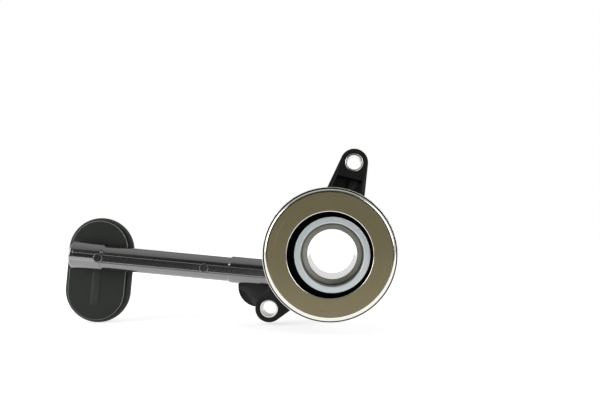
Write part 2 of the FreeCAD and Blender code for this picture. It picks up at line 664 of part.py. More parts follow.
def housing_bolt_hole(body, lug):
    sketch = lug.sketch(body, f"{lug.side}_bolt_hole_circle", "0")
    draw_circle(sketch, lug.distance, "0", total(cell.bolt_sleeve_radius, cell.seat_gap))
    return extrude(body, f"{lug.side}_bolt_hole", sketch, total(cell.lug_depth, PAST), cut=True,
                   backwards=True)


def housing_web(body):
    """Flat web with a round corner that stiffens the arm against the lower lug."""
    sketch = make_sketch(body, "web_outline", "XZ_Plane", z=cell.web_back, angle="0")
    root = f"({BASE_R} - {cell.web_root})"
    middle = (f"-{cell.web_x}", f"-{cell.web_z}")
    outer_x = f"-{total(cell.web_x, cell.web_corner)}"
    lower_z = f"-{total(cell.web_z, cell.web_corner)}"
    corners = [
        (outer_x, f"-{cell.web_z}"),
        (outer_x, f"-{cell.web_top}"),
        (f"-(sqrt({root} * {root} - {cell.web_top} * {cell.web_top}))", f"-{cell.web_top}"),
        (f"-(sqrt({root} * {root} - {cell.web_z} * {cell.web_z}))", f"-{cell.web_z}"),
        (f"-{cell.web_x}", lower_z),
    ]
    places = [Vector(number(x), number(z), 0) for x, z in corners]
    centre = Vector(number(middle[0]), number(middle[1]), 0)
    circle = Part.Circle(centre, Vector(0, 0, 1), number(cell.web_corner))
    arc = sketch.addGeometry(Part.ArcOfCircle(circle, math.pi, 1.5 * math.pi), False)
    lines = []
    for start, end in zip(places, places[1:]):
        lines.append(sketch.addGeometry(Part.LineSegment(start, end), False))
    joins = [Sketcher.Constraint("Coincident", arc, 1, lines[0], 1)]
    for line, following in zip(lines, lines[1:]):
        joins.append(Sketcher.Constraint("Coincident", line, 2, following, 1))
    joins.append(Sketcher.Constraint("Coincident", lines[-1], 2, arc, 2))
    sketch.addConstraint(joins)
    fix_point(sketch, arc, 3, *middle)
    for line, corner in zip(lines, corners):
        if corner is not corners[0]:
            fix_point(sketch, line, 1, *corner)
    index = sketch.addConstraint(Sketcher.Constraint("DistanceX", arc, 1, number(corners[0][0])))
    sketch.setExpression(f"Constraints[{index}]", corners[0][0])
    index = sketch.addConstraint(Sketcher.Constraint("DistanceY", arc, 1, number(corners[0][1])))
    sketch.setExpression(f"Constraints[{index}]", corners[0][1])
    index = sketch.addConstraint(Sketcher.Constraint("DistanceX", arc, 2, number(corners[-1][0])))
    sketch.setExpression(f"Constraints[{index}]", corners[-1][0])
    return extrude(body, "web", sketch, less(cell.web_front, cell.web_back))


def revolve_along_arm(body, name, corners, cut=False):
    """Turn an outline of (place along the arm, radius) about the arm axis."""
    sketch = arm_sketch(body, f"{name}_profile", cell.arm_depth)
    draw_outline(sketch, corners)
    kind = "PartDesign::Groove" if cut else "PartDesign::Revolution"
    feature = body.newObject(kind, name)
    feature.Profile = sketch
    feature.ReferenceAxis = (sketch, ["H_Axis"])
    feature.Angle = 360
    sketch.Visibility = False
    return feature


ARM_START = f"-{less(cell.arm_end, cell.cap_wall)}"
ARM_JOINT = f"-{cell.arm_joint}"


def arm_rib(body, start, end):
    """Flat rib with a lower border on each side, along a stretch of the arm."""
    crown = total(cell.arm_radius, cell.rib_height)
    border = total(cell.rib_half_width, cell.rib_border)
    for name, half, height in (
        ("rib_border", border, less(crown, cell.rib_border_drop)),
        ("rib", cell.rib_half_width, crown),
    ):
        sketch = arm_sketch(body, f"{name}_outline", cell.arm_depth)
        draw_outline(sketch, [
            (start, f"-{half}"),
            (end, f"-{half}"),
            (end, half),
            (start, half),
        ])
        extrude(body, f"arm_{name}", sketch, height)


def arm_pad(body, along):
    sketch = arm_sketch(body, "arm_pad_circle", cell.arm_depth)
    draw_circle(sketch, along, "0", cell.pad_radius)
    extrude(body, "arm_pad", sketch, total(cell.arm_radius, cell.rib_height, cell.pad_height))


def arm_root(body):
    """Thick inner stretch of the arm, with a flat back that keeps clear of the gearbox."""
    end = cell.arm_body_end
    revolve_along_arm(body, "arm_root", [
        (cell.arm_body_step, "0"),
        (cell.arm_body_step, cell.arm_radius),
        (total(cell.arm_body_step, cell.arm_step_run), cell.arm_body_radius),
        (end, cell.arm_body_radius),
        (end, "0"),
    ])
    half = total(cell.arm_body_radius, PAST)
    sketch = arm_sketch(body, "arm_back_outline", cell.arm_back)
    draw_outline(sketch, [
        (less(cell.arm_body_step, PAST), f"-{half}"),
        (total(end, PAST), f"-{half}"),
        (total(end, PAST), half),
        (less(cell.arm_body_step, PAST), half),
    ])
    extrude(body, "arm_back", sketch, cell.arm_body_radius, cut=True)
    arm_rib(body, cell.arm_body_step, end)


def arm_channel(body):
    """Fluid channel from the ports to the floor of the pressure chamber."""
    sketch = make_sketch(body, "channel_profile", "XY_Plane")
    turn = FreeCAD.Rotation(Vector(0, 1, 0), number(cell.arm_slope))
    sketch.AttachmentOffset = FreeCAD.Placement(Vector(), turn)
    sketch.setExpression("AttachmentOffset.Base.x", cell.arm_x)
    sketch.setExpression("AttachmentOffset.Base.z", cell.arm_z)
    sketch.setExpression("AttachmentOffset.Rotation.Angle", cell.arm_slope)
    outer, inner = front(cell.arm_depth), front(CHAMBER_CHANNEL_DEPTH)
    axis_line = Part.LineSegment(
        Vector(number(ARM_START), number(outer), 0), Vector(number(cell.channel_end), number(inner), 0))
    axis = sketch.addGeometry(axis_line, True)
    fix_point(sketch, axis, 1, ARM_START, outer)
    fix_point(sketch, axis, 2, cell.channel_end, inner)
    draw_outline(sketch, [
        (ARM_START, outer),
        (cell.channel_end, inner),
        (cell.channel_end, total(inner, cell.channel_radius)),
        (ARM_START, total(outer, cell.channel_radius)),
    ])
    channel = body.newObject("PartDesign::Groove", "arm_channel")
    channel.Profile = sketch
    channel.ReferenceAxis = (sketch, ["Axis0"])
    channel.Angle = 360
    sketch.Visibility = False


FLANGE_BACK = less(cell.flange_front, cell.flange_wall)
LINE_SEAT_R = less(cell.line_bore_radius, cell.line_seat_step)


def port_flange(body):
    """Oval flange, made first so that its front edge can be bevelled whole."""
    sketch = plate_sketch(body, "port_flange_outline", FLANGE_BACK)
    draw_stadium(sketch, cell.flange_half_width, cell.flange_half_height)
    pad = extrude(body, "port_flange", sketch, cell.flange_wall)
    doc.recompute()
    level = -number(cell.flange_front)
    edges = []
    for index, edge in enumerate(pad.Shape.Edges, start=1):
        if all(abs(vertex.Point.y - level) < 1e-4 for vertex in edge.Vertexes):
            edges.append(f"Edge{index}")
    return soften(body, "port_flange_edge", pad, edges, cell.flange_edge, "Chamfer")


def port_bosses(body):
    for name, place, radius, reach in (
        ("line_boss", cell.line_offset, cell.line_boss_radius, cell.line_reach),
        ("bleed_boss", f"-{cell.bleed_offset}", cell.bleed_boss_radius, cell.bleed_reach),
    ):
        sketch = plate_sketch(body, f"{name}_circle", "0")
        draw_circle(sketch, "0", place, radius)
        extrude(body, name, sketch, reach, backwards=True)
    for name, half, length, backwards in (
        ("boss_rib", cell.web_rib_half, cell.web_rib_reach, True),
        ("channel_rib", cell.band_rib_half, total(cell.flange_front, cell.band_rib_proud), False),
    ):
        sketch = plate_sketch(body, f"{name}_outline", "0")
        draw_outline(sketch, [
            (f"-{half}", f"-{cell.bleed_offset}"),
            (half, f"-{cell.bleed_offset}"),
            (half, cell.line_offset),
            (f"-{half}", cell.line_offset),
        ])
        extrude(body, name, sketch, length, backwards=backwards)


def housing_hollows(body):
    """Cylinder, seats of the sleeve, its rings and the stop ring, and the spring's room."""
    hole_r = total(cell.sleeve_radius, cell.seat_gap)
    recess_r = total(SLEEVE_FLANGE_R, cell.seat_gap)
    ring_r = total(RETAINER_R, cell.seat_gap)
    cord_r = total(hole_r, cell.o_ring_cord, cell.seat_gap)
    cord_floor = less(SLEEVE_SEAT, cell.o_ring_cord, cell.seat_gap)
    stop_r = total(CYLINDER_R, cell.stop_ring_bite, cell.seat_gap)
    past_rear = total(cell.spigot_reach, PAST)
    past_front = front(BARREL_FRONT, PAST)
    revolve(body, "housing_bore", [
        (less(SLEEVE_BORE_R, PAST), past_rear),
        (recess_r, past_rear),
        (recess_r, RETAINER_REAR),
        (ring_r, RETAINER_REAR),
        (ring_r, RETAINER_FRONT),
        (recess_r, RETAINER_FRONT),
        (recess_r, SLEEVE_SEAT),
        (cord_r, SLEEVE_SEAT),
        (cord_r, cord_floor),
        (hole_r, cord_floor),
        (hole_r, front(cell.floor_depth)),
        (CYLINDER_R, front(cell.floor_depth)),
        (CYLINDER_R, front(STOP_RING_REAR)),
        (stop_r, front(STOP_RING_REAR)),
        (stop_r, front(STOP_RING_FRONT)),
        (CYLINDER_R, front(STOP_RING_FRONT)),
        (CYLINDER_R, past_front),
        (less(SLEEVE_BORE_R, PAST), past_front),
    ], cut=True)
    lip_front = total(cell.base_depth, cell.seat_lip)
    revolve(body, "spring_room", [
        (BARREL_R, front(cell.base_depth)),
        (SEAT_LIP_IN_R, front(cell.base_depth)),
        (SEAT_LIP_IN_R, front(lip_front)),
        (BASE_R, front(lip_front)),
        (BASE_R, past_front),
        (BARREL_R, past_front),
    ], cut=True)


def port_hollows(body):
    """Seat of the arm's end cap, both port bores and the ways between them."""
    plug_end = f"-{less(cell.arm_end, cell.cap_wall, cell.cap_plug, cell.seat_gap)}"
    plug_r = total(cell.cap_plug_radius, cell.seat_gap)
    cap_r = total(cell.arm_end_radius, cell.seat_gap)
    cap_past = f"-{total(cell.arm_end, cell.cap_wall, PAST)}"
    revolve_along_arm(body, "plug_seat", [
        (cap_past, "0"),
        (plug_end, "0"),
        (plug_end, plug_r),
        (ARM_START, plug_r),
        (ARM_START, cap_r),
        (cap_past, cap_r),
    ], cut=True)
    line_seat = less(cell.line_reach, cell.line_mouth_depth)
    line_floor = less(cell.line_reach, cell.line_bore_depth)
    insert_floor = less(cell.bleed_reach, cell.insert_depth, cell.seat_gap)
    lower = f"-{cell.bleed_offset}"
    for name, place, radius, mouth, length in (
        ("line_bore", cell.line_offset, cell.line_bore_radius, cell.line_reach, cell.line_mouth_depth),
        ("line_seat", cell.line_offset, LINE_SEAT_R, line_seat, less(line_seat, line_floor)),
        ("line_way", cell.line_offset, cell.channel_radius, line_floor,
         less(total(line_floor, cell.arm_depth), f"({cell.channel_radius} / 2)")),
        ("insert_seat", lower, total(cell.insert_radius, cell.seat_gap), cell.bleed_reach,
         total(cell.insert_depth, cell.seat_gap)),
        ("bleed_way", lower, cell.bleed_channel_radius, insert_floor, insert_floor),
    ):
        sketch = plate_sketch(body, f"{name}_circle", f"-{mouth}")
        draw_circle(sketch, "0", place, radius)
        extrude(body, name, sketch, length, cut=True, backwards=True)
    mouth = plate_sketch(body, "line_mouth_circle", f"-{cell.line_reach}")
    draw_circle(mouth, "0", cell.line_offset, total(cell.line_bore_radius, cell.line_edge))
    bevel = extrude(body, "line_mouth", mouth, cell.line_edge, cut=True, backwards=True)
    bevel.TaperAngle = -45
    sketch = plate_sketch(body, "bleed_channel_profile", "0")
    draw_outline(sketch, [
        ("0", lower),
        (cell.bleed_channel_radius, lower),
        (cell.bleed_channel_radius, cell.line_offset),
        ("0", cell.line_offset),
    ])
    bleed_channel = body.newObject("PartDesign::Groove", "bleed_channel")
    bleed_channel.Profile = sketch
    bleed_channel.ReferenceAxis = (sketch, ["V_Axis"])
    bleed_channel.Angle = 360
    sketch.Visibility = False


CLIP_LEVEL = less(cell.line_reach, cell.clip_setback)


def clip_slots(body):
    """Two slots through the line port, one for each leg of the wire clip."""
    half = total(cell.clip_wire_radius, cell.clip_slot_gap)
    bottom = less(cell.line_offset, cell.clip_leg_drop, cell.clip_slot_gap)
    top = total(cell.line_offset, cell.line_boss_radius, PAST)
    for name, side in (("left", "-"), ("right", "")):
        middle = f"({side}{cell.clip_leg_offset})"
        sketch = plate_sketch(body, f"{name}_slot_outline", f"-{total(CLIP_LEVEL, half)}")
        draw_outline(sketch, [
            (less(middle, half), bottom),
            (total(middle, half), bottom),
            (total(middle, half), top),
            (less(middle, half), top),
        ])
        extrude(body, f"{name}_slot", sketch, f"(2 * {half})", cut=True, backwards=True)


def housing_core_outs(body):
    """Pockets between ribs in the base's back; the arm's side stays solid for the channel."""
    sketch = make_sketch(body, "core_out_outline", "XZ_Plane", angle=cell.core_out_start)
    half_rib = f"{cell.core_out_rib} / 2"
    half_step = f"{cell.core_out_sweep} / ({cell.core_out_count} - 1) / 2"
    near = total(SPIGOT_R, cell.core_out_inner_wall)
    far = less(BASE_R, cell.core_out_outer_wall)

    def half(radius):
        return f"({radius} * tan({half_step}) - {half_rib})"

    draw_outline(sketch, [
        (near, f"-{half(near)}"),
        (far, f"-{half(far)}"),
        (far, half(far)),
        (near, half(near)),
    ])
    pocket = extrude(body, "core_out", sketch, cell.core_out_inset, cut=True, backwards=True)
    pattern = repeat_round(body, "core_outs", pocket, cell.core_out_count)
    pattern.setExpression("Angle", cell.core_out_sweep)
    pattern.Reversed = True


def make_housing():
    """Main length of the moulding: base, barrel, spigot, lugs, web and the arm's inner stretch."""
    body = make_body("housing")
    arm_root(body)
    housing_core(body)
    for lug in LUGS:
        housing_lug(body, lug)
    housing_web(body)
    housing_hollows(body)
    for lug in LUGS:
        housing_lug_pocket(body, lug)
        housing_bolt_hole(body, lug)
    arm_channel(body)
    housing_core_outs(body)
    return body


def make_arm_tube():
    """Slender length of the same moulding; its ends meet the other two face to face."""
    body = make_body("arm_tube")
    revolve_along_arm(body, "arm_tube", [
        (ARM_JOINT, "0"),
        (ARM_JOINT, cell.arm_radius),
        (cell.arm_body_step, cell.arm_radius),
        (cell.arm_body_step, "0"),
    ])
    arm_rib(body, ARM_JOINT, cell.arm_body_step)
    arm_pad(body, cell.inner_pad_along)
    arm_channel(body)
    return body


def make_port_head():
    """Outer length of the same moulding: oval flange, thick arm end and both port bosses."""
    body = make_body("port_head")
    port_flange(body)
    revolve_along_arm(body, "arm_outer", [
        (ARM_START, "0"),
        (ARM_START, cell.arm_end_radius),
        (f"-{cell.arm_end_step}", cell.arm_end_radius),
        (f"-{less(cell.arm_end_step, cell.arm_step_run)}", cell.arm_radius),
        (ARM_JOINT, cell.arm_radius),
        (ARM_JOINT, "0"),
    ])
    arm_rib(body, cell.outer_pad_along, ARM_JOINT)
    arm_pad(body, cell.outer_pad_along)
    port_bosses(body)
    arm_channel(body)
    port_hollows(body)
    clip_slots(body)
    return body


# Guide sleeve and what holds it

def make_guide_sleeve():
    body = make_body("guide_sleeve")
    nose = cell.sleeve_nose_depth
    revolve(body, "sleeve_turned", [
        (total(SLEEVE_BORE_R, cell.sleeve_edge), RETAINER_FRONT),
        (SLEEVE_FLANGE_R, RETAINER_FRONT),
        (SLEEVE_FLANGE_R, SLEEVE_SEAT),
        (cell.sleeve_radius, SLEEVE_SEAT),
        (cell.sleeve_radius, front(less(nose, cell.sleeve_edge))),
        (less(cell.sleeve_radius, cell.sleeve_edge), front(nose)),
        (total(SLEEVE_BORE_R, cell.sleeve_bevel), front(nose)),
        (SLEEVE_BORE_R, front(less(nose, cell.sleeve_bevel))),
        (SLEEVE_BORE_R, less(RETAINER_FRONT, cell.sleeve_edge)),
    ])
    return body


def make_sleeve_o_ring():
    ring = doc.addObject("Part::Torus", "sleeve_o_ring")
    ring.Label = "sleeve_o_ring"
    ring.Placement = FreeCAD.Placement(Vector(), FreeCAD.Rotation(Vector(1, 0, 0), 90))
    ring.setExpression("Radius1", f"{total(cell.sleeve_radius, cell.seat_gap)} + {cell.o_ring_cord} / 2")
    ring.setExpression("Radius2", f"{cell.o_ring_cord} / 2 - {cell.seat_gap}")
    ring.setExpression("Placement.Base.y", f"{SLEEVE_SEAT} - {cell.o_ring_cord} / 2")
    return ring


def make_snap_ring(label, inner_r, outer_r, front_place, rear_place, gape):
    """Flat spring ring with an opening; places are on Y."""
    body = make_body(label)
    feature = revolve(body, f"{label}_turned", [
        (inner_r, rear_place),
        (outer_r, rear_place),
        (outer_r, front_place),
        (inner_r, front_place),
    ])
    feature.setExpression("Angle", f"360 - {gape}")
    return body


# Piston and its rings

TAIL_MIDDLE = f"(({PISTON_BORE_R} + {PISTON_HEAD_R}) / 2)"


def tail_sides(gap):
    """Inner and outer radius of the piston's tail, widened by a gap."""
    half = f"({cell.piston_tail_wall} / 2 + {gap})"
    return less(TAIL_MIDDLE, half), total(TAIL_MIDDLE, half)


def make_piston():
    body = make_body("piston")
    tail_in, tail_out = tail_sides("0")
    tail_end = less(HEAD_REAR, cell.piston_tail)
    head_r = less(PISTON_HEAD_R, cell.head_relief)
    band_floor = less(PISTON_HEAD_R, cell.band_wall, cell.seat_gap)
    head_middle = f"(({HEAD_REAR} + {HEAD_FRONT}) / 2)"
    band_half = f"({cell.band_width} / 2 + {cell.seat_gap})"
    clip_r = less(PISTON_NOSE_R, cell.spring_clip_bite)
    clip_room = total(cell.running_gap, cell.seat_gap)
    clip_rear = less(total(SPRING_CLIP_REAR, cell.spring_clip_cone), clip_room)
    clip_front = total(clip_rear, cell.spring_clip_wall, clip_room, cell.seat_gap)
    scraper_r = total(PISTON_BORE_R, cell.scraper_wall)
    scraper_front = total(cell.scraper_depth, cell.scraper_width, cell.seat_gap)
    scraper_rear = less(cell.scraper_depth, cell.seat_gap)
    turned = revolve(body, "piston_turned", [
        (PISTON_BORE_R, front(HEAD_REAR)),
        (tail_in, front(HEAD_REAR)),
        (tail_in, front(tail_end)),
        (tail_out, front(tail_end)),
        (tail_out, front(HEAD_REAR)),
        (head_r, front(HEAD_REAR)),
        (head_r, front(less(head_middle, band_half))),
        (band_floor, front(less(head_middle, band_half))),
        (band_floor, front(total(head_middle, band_half))),
        (head_r, front(total(head_middle, band_half))),
        (head_r, front(HEAD_FRONT)),
        (PISTON_STEM_R, front(HEAD_FRONT)),
        (PISTON_STEM_R, front(CARRIER_REAR)),
        (PISTON_NOSE_R, front(CARRIER_REAR)),
        (PISTON_NOSE_R, front(clip_rear)),
        (clip_r, front(clip_rear)),
        (clip_r, front(clip_front)),
        (PISTON_NOSE_R, front(clip_front)),
        (PISTON_NOSE_R, front(PISTON_NOSE)),
        (PISTON_BORE_R, front(PISTON_NOSE)),
        (PISTON_BORE_R, front(scraper_front)),
        (scraper_r, front(scraper_front)),
        (scraper_r, front(scraper_rear)),
        (PISTON_BORE_R, front(scraper_rear)),
    ])
    soften_rims(body, "piston_nose", turned, [
        (PISTON_NOSE_R, front(PISTON_NOSE)),
        (PISTON_BORE_R, front(PISTON_NOSE)),
    ], cell.piston_nose_round)
    return body


def make_piston_seal():
    """Groove ring: its two lips face the fluid, and its back hooks over the piston's tail."""
    body = make_body("piston_seal")
    throat = total(SEAL_REAR, cell.seal_throat)
    slope = f"{cell.seal_lip} * 1.4"
    tail_in, tail_out = tail_sides(cell.seat_gap)
    tail_end = less(HEAD_REAR, cell.piston_tail, cell.seat_gap)
    revolve(body, "piston_seal_moulded", [
        (PISTON_BORE_R, front(SEAL_REAR)),
        (total(PISTON_BORE_R, cell.seal_lip), front(SEAL_REAR)),
        (total(PISTON_BORE_R, slope), front(throat)),
        (less(PISTON_HEAD_R, slope), front(throat)),
        (less(PISTON_HEAD_R, cell.seal_lip), front(SEAL_REAR)),
        (PISTON_HEAD_R, front(SEAL_REAR)),
        (PISTON_HEAD_R, front(HEAD_REAR)),
        (tail_out, front(HEAD_REAR)),
        (tail_out, front(tail_end)),
        (tail_in, front(tail_end)),
        (tail_in, front(HEAD_REAR)),
        (PISTON_BORE_R, front(HEAD_REAR)),
    ])
    return body


def make_guide_band():
    body = make_body("guide_band")
    middle = f"(({HEAD_REAR} + {HEAD_FRONT}) / 2)"
    half = f"({cell.band_width} / 2)"
    revolve(body, "guide_band_moulded", box_ring(
        less(PISTON_HEAD_R, cell.band_wall), PISTON_HEAD_R, total(middle, half), less(middle, half)))
    return body


def make_sleeve_scraper():
    """Ring with a raised lip that keeps dust off the sleeve."""
    body = make_body("sleeve_scraper")
    outer = less(total(PISTON_BORE_R, cell.scraper_wall), cell.seat_gap)
    near = cell.scraper_depth
    far = total(cell.scraper_depth, cell.scraper_width)
    relief = f"({cell.scraper_wall} / 2)"
    revolve(body, "sleeve_scraper_moulded", [
        (total(PISTON_BORE_R, relief), front(near)),
        (outer, front(near)),
        (outer, front(far)),
        (PISTON_BORE_R, front(far)),
        (PISTON_BORE_R, front(less(far, f"({cell.scraper_width} / 4)"))),
    ])
    return body


# Bearing carrier and the parts that let the bearing centre itself

def make_bearing_carrier():
    body = make_body("bearing_carrier")
    bore = total(PISTON_NOSE_R, cell.seat_gap)
    collar_end = less(CARRIER_REAR, cell.boot_collar_depth)
    lip_r = less(CARRIER_R, cell.carrier_lip_wall)
    lip_end = less(CARRIER_REAR, cell.carrier_lip)
    revolve(body, "carrier_pressed", [
        (bore, front(CARRIER_REAR)),
        (COLLAR_IN_R, front(CARRIER_REAR)),
        (COLLAR_IN_R, front(collar_end)),
        (COLLAR_R, front(collar_end)),
        (COLLAR_R, front(CARRIER_REAR)),
        (lip_r, front(CARRIER_REAR)),
        (lip_r, front(lip_end)),
        (CARRIER_R, front(lip_end)),
        (CARRIER_R, front(CARRIER_FRONT)),
        (bore, front(CARRIER_FRONT)),
    ])
    return body


def make_float_washer():
    body = make_body("float_washer")
    revolve(body, "float_washer_cut", box_ring(
        total(COVER_INNER_R, cell.washer_inner_inset), less(COVER_R, cell.washer_outer_inset),
        less(COVER_REAR, cell.float_gap), total(CARRIER_FRONT, cell.float_gap)))
    float_with_bearing(body)
    return body


def make_centering_spring():
    """Shallow cone snapped into the piston's nose; its outer edge holds the bearing cover."""
    body = make_body("centering_spring")
    inner_r = total(less(PISTON_NOSE_R, cell.spring_clip_bite), cell.seat_gap)
    high = total(SPRING_CLIP_REAR, cell.spring_clip_cone)
    turned = revolve(body, "centering_spring_cone", [
        (inner_r, front(high)),
        (SPRING_CLIP_R, front(SPRING_CLIP_REAR)),
        (SPRING_CLIP_R, front(total(SPRING_CLIP_REAR, cell.spring_clip_wall))),
        (inner_r, front(total(high, cell.spring_clip_wall))),
    ])
    body.Tip = turned
    return body


# Release bearing

def revolve_circle(body, name, radius_place, depth_place, radius):
    """Turn a round groove about Y."""
    sketch = make_sketch(body, f"{name}_circle", "XY_Plane")
    draw_circle(sketch, radius_place, front(depth_place), radius)
    feature = body.newObject("PartDesign::Groove", name)
    feature.Profile = sketch
    feature.ReferenceAxis = (sketch, ["V_Axis"])
    feature.Angle = 360
    sketch.Visibility = False
    return feature


RACE_R = total(cell.ball_radius, cell.race_gap)


def make_contact_ring():
    """Turning ring: wide contact face, hub and inner race in one."""
    body = make_body("contact_ring")
    face = cell.overall_depth
    bore_bevel = cell.contact_bore_bevel
    turned = revolve(body, "contact_ring_turned", [
        (CONTACT_BORE_R, front(less(face, cell.hub_end_setback))),
        (HUB_R, front(less(face, cell.hub_end_setback))),
        (HUB_R, front(FLANGE_REAR)),
        (CONTACT_R, front(FLANGE_REAR)),
        (CONTACT_R, front(face)),
        (total(CONTACT_BORE_R, bore_bevel), front(face)),
        (CONTACT_BORE_R, front(less(face, bore_bevel))),
    ])
    soften_rims(body, "contact_ring_bevel", turned, [(CONTACT_R, front(face))],
                cell.contact_bevel)
    revolve_circle(body, "inner_race", BALL_PITCH_R, BALL_DEPTH, RACE_R)
    float_with_bearing(body)
    return body


def make_bearing_outer_ring():
    body = make_body("bearing_outer_ring")
    revolve(body, "outer_ring_turned", box_ring(
        OUTER_RING_INNER_R, less(COVER_IN_R, cell.seat_gap), OUTER_RING_FRONT, OUTER_RING_REAR))
    revolve_circle(body, "outer_race", BALL_PITCH_R, BALL_DEPTH, RACE_R)
    float_with_bearing(body)
    return body


def make_bearing_cover():
    """Pressed shell round the bearing, with a rear flange that slides on the carrier."""
    body = make_body("bearing_cover")
    rim = less(cell.overall_depth, cell.cover_setback)
    pressed = revolve(body, "cover_pressed", [
        (COVER_INNER_R, front(COVER_REAR)),
        (COVER_R, front(COVER_REAR)),
        (COVER_R, front(rim)),
        (COVER_IN_R, front(rim)),
        (COVER_IN_R, front(OUTER_RING_REAR)),
        (COVER_INNER_R, front(OUTER_RING_REAR)),
    ])
    soften_rims(body, "cover_edges", pressed, [
        (COVER_R, front(rim)),
        (COVER_R, front(COVER_REAR)),
    ], cell.cover_edge)
    float_with_bearing(body)
    return body


def make_bearing_seal():
    body = make_body("bearing_seal")
    revolve(body, "bearing_seal_moulded", box_ring(
        total(HUB_R, cell.bearing_seal_gap), less(COVER_IN_R, cell.seat_gap),
        total(OUTER_RING_FRONT, cell.bearing_seal_wall), OUTER_RING_FRONT))
    float_with_bearing(body)
    return body


def make_bearing_balls():
    body = make_body("bearing_balls")
    sketch = make_sketch(body, "ball_half", "XY_Plane")
    middle = Vector(number(BALL_PITCH_R), -number(BALL_DEPTH), 0)
    radius = number(cell.ball_radius)
    circle = Part.Circle(middle, Vector(0, 0, 1), radius)
    arc = sketch.addGeometry(Part.ArcOfCircle(circle, -math.pi / 2, math.pi / 2), False)
    top, bottom = middle + Vector(0, radius, 0), middle - Vector(0, radius, 0)
    line = sketch.addGeometry(Part.LineSegment(top, bottom), False)
    sketch.addConstraint([
        Sketcher.Constraint("Coincident", arc, 2, line, 1),
        Sketcher.Constraint("Coincident", line, 2, arc, 1),
        Sketcher.Constraint("PointOnObject", arc, 3, line),
        Sketcher.Constraint("Vertical", line),
    ])
    fix_point(sketch, arc, 3, BALL_PITCH_R, front(BALL_DEPTH))
    index = sketch.addConstraint(Sketcher.Constraint("Radius", arc, radius))
    sketch.setExpression(f"Constraints[{index}]", cell.ball_radius)
    ball = body.newObject("PartDesign::Revolution", "ball")
    ball.Profile = sketch
    ball.ReferenceAxis = (sketch, ["Edge2"])
    ball.Angle = 360
    sketch.Visibility = False
    repeat_round(body, "ball_row", ball, cell.ball_count)
    float_with_bearing(body)
    return body


def make_ball_cage():
    """Crown cage: its round pockets open to the rear by a little less than a ball."""
    body = make_body("ball_cage")
    pocket_r = total(cell.ball_radius, cell.cage_pocket_gap)
    cage_r = less(OUTER_RING_INNER_R, cell.cage_clearance)
    revolve(body, "cage_ring", box_ring(
        total(HUB_R, cell.cage_clearance), cage_r,
        total(BALL_DEPTH, pocket_r, cell.cage_web), less(BALL_DEPTH, cell.cage_back)))
    sketch = make_sketch(body, "cage_pocket_circle", "YZ_Plane")
    draw_circle(sketch, front(BALL_DEPTH), "0", pocket_r)
    pocket = extrude(body, "cage_pocket", sketch, total(cage_r, PAST), cut=True, backwards=True)
    repeat_round(body, "cage_pockets", pocket, cell.ball_count)
    float_with_bearing(body)
    return body


# Preload spring and dust boot

PAIRS_A_TURN = 3


def arc_along(start, along, end):
    """Arc from a point and its direction there to a second point."""
    chord = end - start
    across = (chord - along * chord.dot(along)).normalize()
    middle = start + across * (chord.dot(chord) / (2 * chord.dot(across)))
    half = ((start + end) * 0.5 - middle).normalize()
    return Part.Arc(start, middle + half * (start - middle).Length, end).toShape()


def arc_pair(start, away, end, arriving):
    """Two arcs that leave and arrive in the given directions and meet without a kink."""
    span = end - start
    both = span.dot(away + arriving)
    turn = 1 - away.dot(arriving)
    reach = (math.sqrt(both * both + 2 * turn * span.dot(span)) - both) / (2 * turn)
    first, last = start + away * reach, end - arriving * reach
    joint = (first + last) * 0.5
    return [arc_along(start, away, joint), arc_along(joint, (last - first).normalize(), end)]


def make_preload_spring():
    """Wire wound with one closed turn at each end."""
    radius = number(SPRING_R)
    wire_r = number(cell.spring_wire_radius)
    length = number(less(CARRIER_REAR, cell.base_depth))
    turns = number(cell.spring_active_turns)
    closed = 2 * wire_r + number(cell.running_gap)
    pitch = (length - 2 * wire_r - 2 * closed) / turns

    def node(turned):
        """Point and direction of the wire's middle after this many turns."""
        active = min(max(turned - 1, 0), turns)
        rise = wire_r + closed * (turned - active) + pitch * active
        before = pitch if 1 < turned <= 1 + turns else closed
        after = pitch if 1 <= turned < 1 + turns else closed
        angle = 2 * math.pi * turned
        run = 2 * math.pi * radius
        along = Vector(-run * math.sin(angle), run * math.cos(angle), (before + after) / 2)
        return Vector(radius * math.cos(angle), radius * math.sin(angle), rise), along.normalize()

    nodes = [node(index / PAIRS_A_TURN) for index in range(round((turns + 2) * PAIRS_A_TURN) + 1)]
    arcs = []
    for (start, away), (end, arriving) in zip(nodes, nodes[1:]):
        arcs.extend(arc_pair(start, away, end, arriving))
    section = Part.Wire(Part.makeCircle(wire_r, *nodes[0]))
    spring = doc.addObject("Part::Feature", "preload_spring")
    spring.Label = "preload_spring"
    spring.Shape = Part.Wire(arcs).makePipeShell([section], True, True)
    spring.Placement = FreeCAD.Placement(
        Vector(0, -number(cell.base_depth), 0), FreeCAD.Rotation(Vector(1, 0, 0), 90))
    return spring


